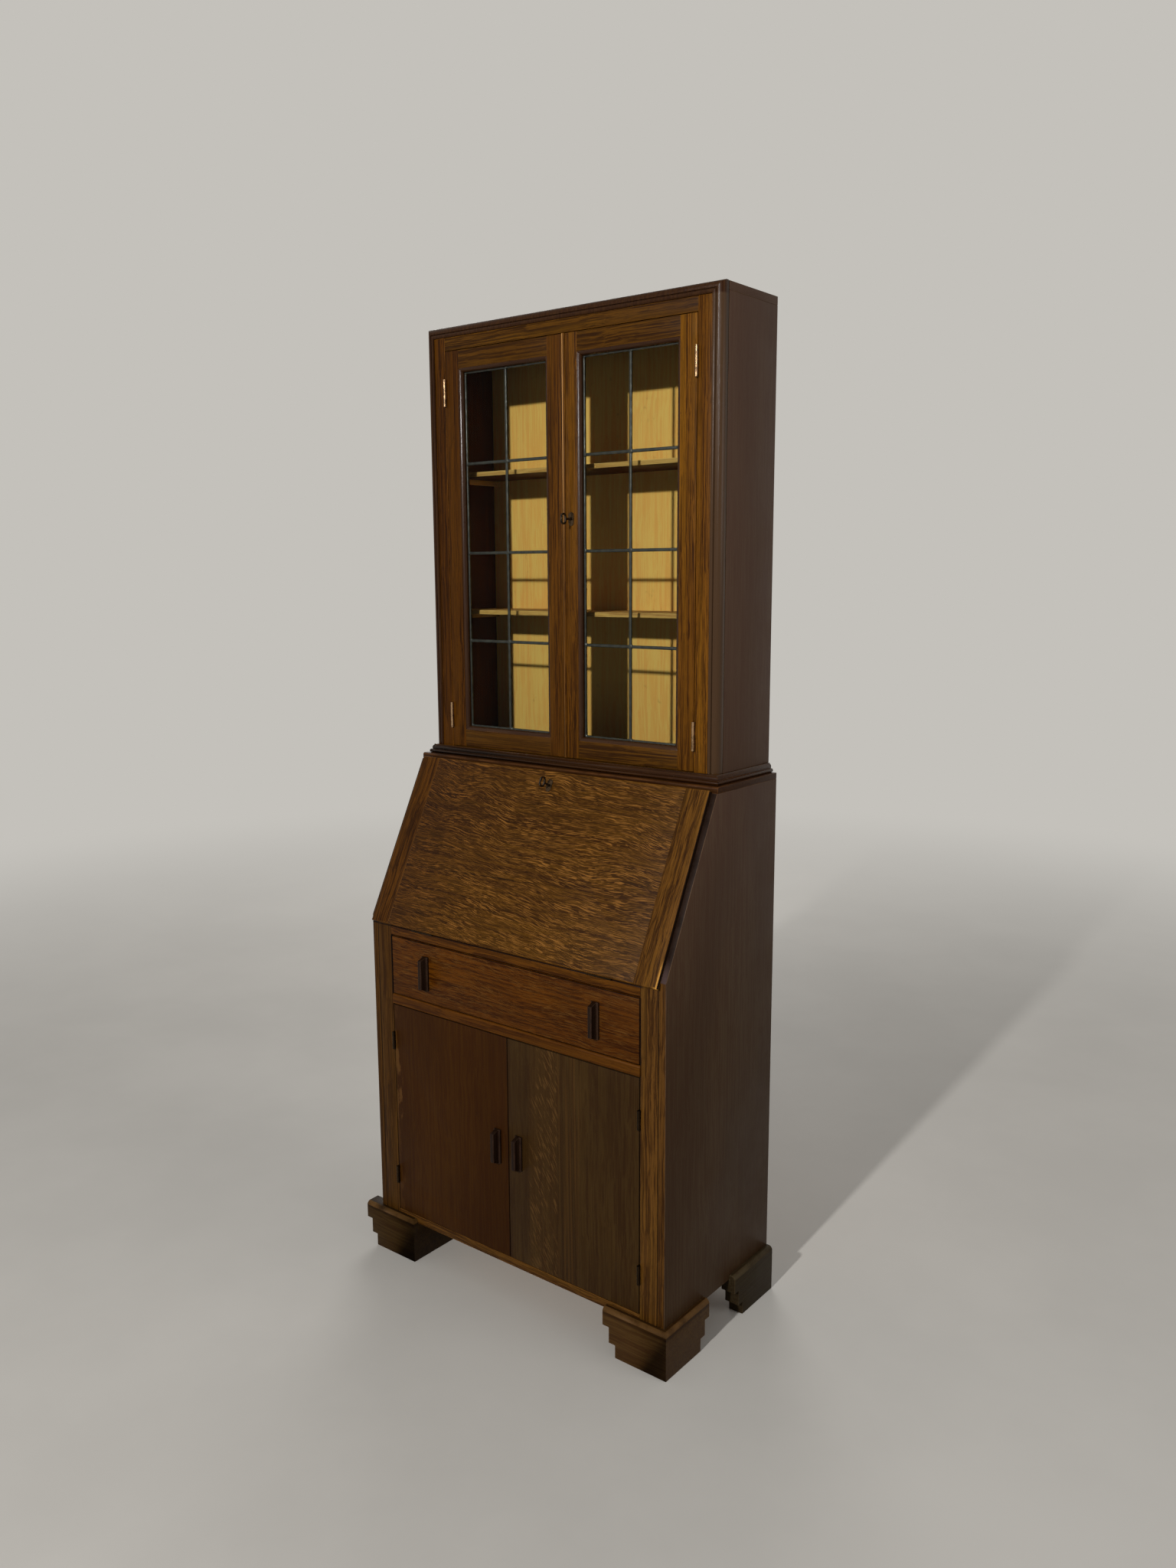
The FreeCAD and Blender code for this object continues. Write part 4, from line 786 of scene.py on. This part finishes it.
def mark_sight_edge(mesh, sight, index):
    """Gives the dark moulding's material to the faces round the glass."""
    low, high = sight
    for face in mesh.faces:
        spot = face.calc_center_median()
        if low.x < spot.x < high.x and low.z < spot.z < high.z and spot.y < high.y:
            face.material_index = index


def box_seams(node, axes=(0, 2)):
    """The planes of a node's box across the front and up it, where it meets its neighbours."""
    low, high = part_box(node)
    return tuple((axis, corner[axis]) for axis in axes for corner in (low, high))


# Widths of eased edges that differ from the usual one
FOOT_ARRIS = 0.0014
FALL_RAIL_ARRIS = 0.001
DRAWER_ARRIS = 0.0012
HANDLE_ARRIS = 0.0006
MOULDING_ARRIS = 0.0005
GLAZED_DOOR_ARRIS = 0.0007
SIGHT_REACH = Vector((0.0012, 0.0, 0.0012))


class BUREAU_OT_desk_boards(bpy.types.Operator):
    """Dress the desk's panels, stiles, rails, top and feet in oak"""

    bl_idname = "bureau.desk_boards"
    bl_label = "Desk boards"

    def execute(self, context):
        outer = box_seams("desk_stiles", axes=(0,))
        opening = box_seams("fall_rail", axes=(0,))
        # The sides' sloping edges take the near-black clamp edge finish as painted shade beside the fall
        boards("side", "desk_side_left", "desk_side_right", others=((FRONT, "frame"), (SLOPE_OUT, "clamp_edge")),
               seams=outer)
        board("desk_stiles", "frame", seams=outer + opening)
        board("fall_rail", "fall_rail", seams=box_seams("fall_rail"), width=FALL_RAIL_ARRIS, rounds=False)
        board("drawer_rail", "rail")
        board("base_rail", "frame")
        board("desk_top", "top")
        boards("foot", "foot_front_right", "foot_front_left", width=FOOT_ARRIS)
        board("feet_back", "back_foot", width=FOOT_ARRIS)
        return {"FINISHED"}


class BUREAU_OT_fall(bpy.types.Operator):
    """Dress the sloping fall and its end clamps in quarter-sawn oak"""

    bl_idname = "bureau.fall"
    bl_label = "Fall"

    def execute(self, context):
        board("fall_panel", "fall")
        # The clamps' outer edges are near-black, partly a dark stain and partly painted shade
        board("fall_clamps", "clamp", grain="slope", others=((RIGHT, "clamp_edge"), (LEFT, "clamp_edge")))
        return {"FINISHED"}


class BUREAU_OT_drawer(bpy.types.Operator):
    """Dress the drawer's front in oak and its box in pine"""

    bl_idname = "bureau.drawer"
    bl_label = "Drawer"

    def execute(self, context):
        board("drawer_front", "drawer", seams=box_seams("drawer_front"), width=DRAWER_ARRIS)
        boards("pine", "drawer_sides", "drawer_back")
        board("drawer_bottom", "plywood")
        return {"FINISHED"}


class BUREAU_OT_cupboard_doors(bpy.types.Operator):
    """Dress the two cupboard doors, which differ in colour and figure"""

    bl_idname = "bureau.cupboard_doors"
    bl_label = "Cupboard doors"

    def execute(self, context):
        for side in ("left", "right"):
            node = "lower_door_" + side
            board(node, side + "_door", seams=box_seams(node))
        return {"FINISHED"}


class BUREAU_OT_handles(bpy.types.Operator):
    """Dress the dark bar handles"""

    bl_idname = "bureau.handles"
    bl_label = "Handles"

    def execute(self, context):
        boards("handle", "drawer_handles", "lower_handle_left", "lower_handle_right", width=HANDLE_ARRIS,
               rounds=False)
        return {"FINISHED"}


class BUREAU_OT_bookcase(bpy.types.Operator):
    """Dress the bookcase's carcass, face frame and mouldings in oak"""

    bl_idname = "bureau.bookcase"
    bl_label = "Bookcase"

    def execute(self, context):
        for node, inward in (("hutch_side_left", RIGHT), ("hutch_side_right", LEFT), ("hutch_top", DOWN)):
            board(node, "side", others=((inward, "inside"),))
        board("hutch_stiles", "glazed")
        boards("glazed_rail", "hutch_top_rail", "hutch_floor")
        boards("moulding", "hutch_edge_moulding", "waist_moulding", width=MOULDING_ARRIS, rounds=False)
        return {"FINISHED"}


class BUREAU_OT_glazed_doors(bpy.types.Operator):
    """Dress the glazed doors' frames, with a dark moulded edge round the glass"""

    bl_idname = "bureau.glazed_doors"
    bl_label = "Glazed doors"

    def execute(self, context):
        for door in ("upper_left_", "upper_right_"):
            low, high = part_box(door + "cames")
            for part, finish in (("stiles", "glazed"), ("rails", "glazed_rail")):
                board(door + part, finish, sight=(low - SIGHT_REACH, high + SIGHT_REACH), width=GLAZED_DOOR_ARRIS,
                      rounds=False)
        return {"FINISHED"}


class BUREAU_OT_inside(bpy.types.Operator):
    """Dress the shelves, backs, pigeonholes and other boards inside"""

    bl_idname = "bureau.inside"
    bl_label = "Inside"

    def execute(self, context):
        # The shelves' undersides take the dark inside stain as painted shade under them
        board("hutch_shelves", "pine", others=((DOWN, "inside"),))
        boards("pine", "shelf_cleats", "writing_board", "side_battens", "cupboard_shelf", "cupboard_floor",
               "pigeonhole_rack")
        boards("plywood", "desk_back", "hutch_back", others=((BACK, "dusty_plywood"),))
        return {"FINISHED"}


# Leaded lights

PANE_COLUMNS = 2
PANE_ROWS = 4
BORDER_CAME = 0.010
INNER_CAME = 0.006
CAME_ROUND = 0.0016
CAME_CREASE = math.radians(60)
SOLDER_INSET_SHARE = 0.7
SOLDER_SINK = 0.0004
SOLDER_SIZE = Vector((0.0052, 0.0009, 0.0052))


def came_lines(low, high, count):
    """Middles of the inner bars that part a length into equal panes."""
    pane = (high - low - 2 * BORDER_CAME - (count - 1) * INNER_CAME) / count
    return [low + BORDER_CAME + (i + 1) * pane + (i + 0.5) * INNER_CAME for i in range(count - 1)]


def add_bar(mesh, low, high):
    """One length of lead with its long edges rounded."""
    made = bmesh.ops.create_cube(mesh, size=1.0)["verts"]
    bmesh.ops.scale(mesh, vec=high - low, verts=made)
    bmesh.ops.translate(mesh, vec=(low + high) / 2, verts=made)
    bevel(mesh, list({edge for vertex in made for edge in vertex.link_edges}), CAME_ROUND, segments=3)


def add_solder(mesh, spot):
    """A flattened bead of solder where bars meet."""
    made = bmesh.ops.create_icosphere(mesh, subdivisions=2, radius=1.0)["verts"]
    bmesh.ops.scale(mesh, vec=SOLDER_SIZE, verts=made)
    bmesh.ops.translate(mesh, vec=spot, verts=made)


def came_mesh(low, high):
    """The border and inner bars of one leaded light, with solder on both faces where they meet."""
    mesh = bmesh.new()
    border, inner = BORDER_CAME / 2, INNER_CAME / 2
    counts = ((0, PANE_COLUMNS), (2, PANE_ROWS))
    bars = [(axis, middle, border) for axis, _ in counts for middle in (low[axis] + border, high[axis] - border)]
    bars += [(axis, middle, inner) for axis, count in counts
             for middle in came_lines(low[axis], high[axis], count)]
    for axis, middle, half in bars:
        start, end = low.copy(), high.copy()
        start[axis], end[axis] = middle - half, middle + half
        add_bar(mesh, start, end)
    inset = BORDER_CAME * SOLDER_INSET_SHARE
    xs, zs = ([low[axis] + inset, *came_lines(low[axis], high[axis], count), high[axis] - inset]
              for axis, count in counts)
    for x in xs:
        for z in zs:
            for y in (low.y + SOLDER_SINK, high.y - SOLDER_SINK):
                add_solder(mesh, Vector((x, y, z)))
    crease(mesh, CAME_CREASE)
    return mesh


class BUREAU_OT_leaded_lights(bpy.types.Operator):
    """Make the rounded lead bars with their solder joints, and the old glass"""

    bl_idname = "bureau.leaded_lights"
    bl_label = "Leaded lights"

    def execute(self, context):
        lead = lead_material()
        glass = glass_material()
        for door in ("upper_left_", "upper_right_"):
            stand_in(door + "cames", "_lead", came_mesh(*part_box(door + "cames")), [lead])
            frame["nodes"][door + "glass"].data.materials[0] = glass
        return {"FINISHED"}


def lead_material():
    """Dull grey-green lead with a paler bloom and small dents."""
    colour = metal().lead
    material, tree, shader = new_material("lead", 0.5, metallic=0.6)
    place = object_place(tree)
    bloom = ramp(tree, noise(tree, place, 90.0, 4.0, 0.6), 0.35, 0.65)
    join(tree, shader.inputs, {"Base Color": blend_colour(tree, bloom, toned(colour, 0.55), toned(colour, 1.15)),
                               "Roughness": reckon(tree, "MULTIPLY_ADD", bloom, -0.2, 0.52)})
    bump(tree, shader, noise(tree, place, 220.0, 3.0, 0.6), 0.35, 0.0006)
    return material


def glass_material():
    """Old drawn glass with a slow ripple. Lamp light comes straight through, and less of the even light."""
    colour = metal().glass
    material, tree, shader = new_material("sheet_glass", 0.02, 0.12)
    for name, value in (("Base Color", (*colour, 1.0)), ("Transmission Weight", 1.0), ("IOR", 1.09)):
        shader.inputs[name].default_value = value
    place = object_place(tree)
    bump(tree, shader, noise(tree, place, (9.0, 9.0, 5.0), 2.0, 0.5), 0.25, 0.002)
    clear, dim = (put(tree, "ShaderNodeBsdfTransparent", {"Color": (*toned(colour, light), 1.0)}).outputs[0]
                  for light in (1.0, 0.6))
    path = put(tree, "ShaderNodeLightPath").outputs
    straight = mixed(tree, path["Is Shadow Ray"], shader.outputs[0], clear)
    show_instead(tree, mixed(tree, path["Is Diffuse Ray"], straight, dim))
    return material


# Metal

DULL_FADE = 0.01


def metal_material(name, colour, roughness, dull_below=None):
    """Aged metal: darker in patches, brighter where it is rubbed, and dull all over below a height."""
    material, tree, shader = new_material(name, roughness, metallic=1.0)
    place = object_place(tree)
    spots = ramp(tree, noise(tree, place, 130.0, 5.0, 0.65), 0.38, 0.62)
    surface = blend_colour(tree, spots, toned(colour, 0.4), toned(colour, 1.3))
    if dull_below:
        height = split(tree, place)["Z"]
        low = flipped(tree, ramp(tree, height, dull_below - DULL_FADE, dull_below + DULL_FADE))
        surface = tinted(tree, surface, low, 0.95, toned(colour, 0.04))
    join(tree, shader.inputs, {"Base Color": surface,
                               "Roughness": reckon(tree, "MULTIPLY_ADD", spots, -0.18, roughness + 0.1)})
    bump(tree, shader, noise(tree, place, 500.0, 2.0, 0.6), 0.2, 0.0003)
    return material


class BUREAU_OT_fittings(bpy.types.Operator):
    """Dress the hinges, stays, locks and keys in aged metal"""

    bl_idname = "bureau.fittings"
    bl_label = "Hinges, stays, locks and keys"

    def execute(self, context):
        looks = {"brass": metal_material("aged_brass", metal().brass, 0.35, dull_below=DESK_TOP),
                 "steel": metal_material("worn_steel", metal().steel, 0.32)}
        tarnished = metal_material("tarnished_brass", toned(metal().brass, 0.22), 0.42)
        for node, slot in slot_of_node.items():
            if slot in looks:
                frame["nodes"][node].data.materials[0] = tarnished if node.endswith("_lock") else looks[slot]
        return {"FINISHED"}


# Stage

FLOOR_SIZE = 60.0
FLOOR_FADE = (1.6, 5.5)
# Name, place, height that it looks at over the origin, width, and share of the lamps' power
LAMPS = (("key_lamp", (0.74, -5.0, 3.21), 1.1, 0.2, 2.73),
         ("side_lamp", (4.2, 0.6, 2.4), 1.0, 2.4, 0.5),
         ("back_lamp", (-2.6, 3.4, 2.6), 1.0, 2.4, 0.8))


def area_lamp(name, place, target, size, power):
    """A round lamp that faces its target."""
    lamp = bpy.data.lights.new(name, "AREA")
    lamp.shape = "DISK"
    lamp.size = size
    lamp.energy = power
    holder = link_object(name, lamp)
    holder.location = place
    holder.rotation_euler = (Vector(target) - Vector(place)).to_track_quat("-Z", "Y").to_euler()


def make_floor(settings):
    """A wide pale floor that fades into the backdrop far from the piece."""
    mesh = bmesh.new()
    bmesh.ops.create_grid(mesh, x_segments=8, y_segments=8, size=FLOOR_SIZE)
    floor = link_mesh("floor", mesh)
    material, tree, shader = new_material("pale_floor", 0.7, 0.2)
    place = object_place(tree)
    fade = ramp(tree, reckon_vector(tree, "LENGTH", place), *FLOOR_FADE)
    grain = ramp(tree, noise(tree, place, 1.5, 5.0, 0.6), 0.3, 0.7)
    base = blend_colour(tree, grain, toned(settings.floor, 0.96), toned(settings.floor, 1.03))
    tree.links.new(base, shader.inputs["Base Color"])
    glow = put(tree, "ShaderNodeEmission", {"Color": (*settings.backdrop, 1.0)}).outputs[0]
    show_instead(tree, mixed(tree, fade, shader.outputs[0], glow))
    floor.data.materials.append(material)


def make_world(settings):
    """Even light from all round, while the camera, reflections and glass see the backdrop."""
    world = bpy.data.worlds.new("studio")
    bpy.context.scene.world = world
    world.use_nodes = True
    tree = world.node_tree
    tree.nodes.clear()
    path = put(tree, "ShaderNodeLightPath").outputs
    seen = reckon(tree, "MAXIMUM", reckon(tree, "MAXIMUM", path["Is Camera Ray"], path["Is Glossy Ray"]),
                  path["Is Transmission Ray"])
    plain, pale = (put(tree, "ShaderNodeBackground", {"Color": (*colour, 1.0), "Strength": strength}).outputs[0]
                   for colour, strength in (((1.0, 1.0, 1.0), settings.ambient), (settings.backdrop, 1.0)))
    put(tree, "ShaderNodeOutputWorld", {0: mixed(tree, seen, plain, pale)})


def make_camera(settings):
    """The camera at the photograph's place, turned by its heading, tilt and roll."""
    data = bpy.data.cameras.new("camera")
    data.lens = settings.lens
    camera = link_object("camera", data)
    turn = (Matrix.Rotation(-settings.heading, 3, "Z") @ Matrix.Rotation(math.pi / 2 + settings.tilt, 3, "X")
            @ Matrix.Rotation(settings.roll, 3, "Z"))
    camera.rotation_euler = turn.to_euler()
    camera.location = settings.camera_place
    bpy.context.scene.camera = camera


class BUREAU_OT_stage(bpy.types.Operator):
    """Set the camera, the pale floor and the lamps"""

    bl_idname = "bureau.stage"
    bl_label = "Stage"

    def execute(self, context):
        settings = stage()
        make_floor(settings)
        make_world(settings)
        make_camera(settings)
        for name, place, height, size, share in LAMPS:
            area_lamp(name, place, (0.0, 0.0, height), size, settings.key_power * share)
        context.scene.view_settings.view_transform = "Standard"
        return {"FINISHED"}


class BUREAU_PT_panel(bpy.types.Panel):
    """Sizes, colours and pieces of the bureau bookcase"""

    bl_idname = "BUREAU_PT_panel"
    bl_label = "Bureau bookcase"
    bl_space_type = "VIEW_3D"
    bl_region_type = "UI"
    bl_category = "Bureau"

    def draw(self, context):
        for owner in (oak(), metal(), stage()):
            box = self.layout.box()
            for key in type(owner).__annotations__:
                box.prop(owner, key)
        for operator in OPERATORS:
            self.layout.operator(operator.bl_idname)


SETTINGS = (("bureau_oak", BureauOak), ("bureau_metal", BureauMetal), ("bureau_stage", BureauStage))
OPERATORS = (BUREAU_OT_stage, BUREAU_OT_desk_boards, BUREAU_OT_fall, BUREAU_OT_drawer, BUREAU_OT_cupboard_doors,
             BUREAU_OT_handles, BUREAU_OT_bookcase, BUREAU_OT_glazed_doors, BUREAU_OT_inside,
             BUREAU_OT_leaded_lights, BUREAU_OT_fittings)


def register():
    for name, kind in SETTINGS:
        bpy.utils.register_class(kind)
        setattr(bpy.types.Scene, name, bpy.props.PointerProperty(type=kind))
    for operator in OPERATORS:
        bpy.utils.register_class(operator)
    bpy.utils.register_class(BUREAU_PT_panel)


def unregister():
    bpy.utils.unregister_class(BUREAU_PT_panel)
    for operator in reversed(OPERATORS):
        bpy.utils.unregister_class(operator)
    for name, kind in reversed(SETTINGS):
        delattr(bpy.types.Scene, name)
        bpy.utils.unregister_class(kind)


def main():
    register()
    make_oak_grain()
    make_ray_flecks()
    make_wax_and_wear()
    for operator in OPERATORS:
        family, name = operator.bl_idname.split(".")
        getattr(getattr(bpy.ops, family), name)()


if __name__ == "__main__":
    main()
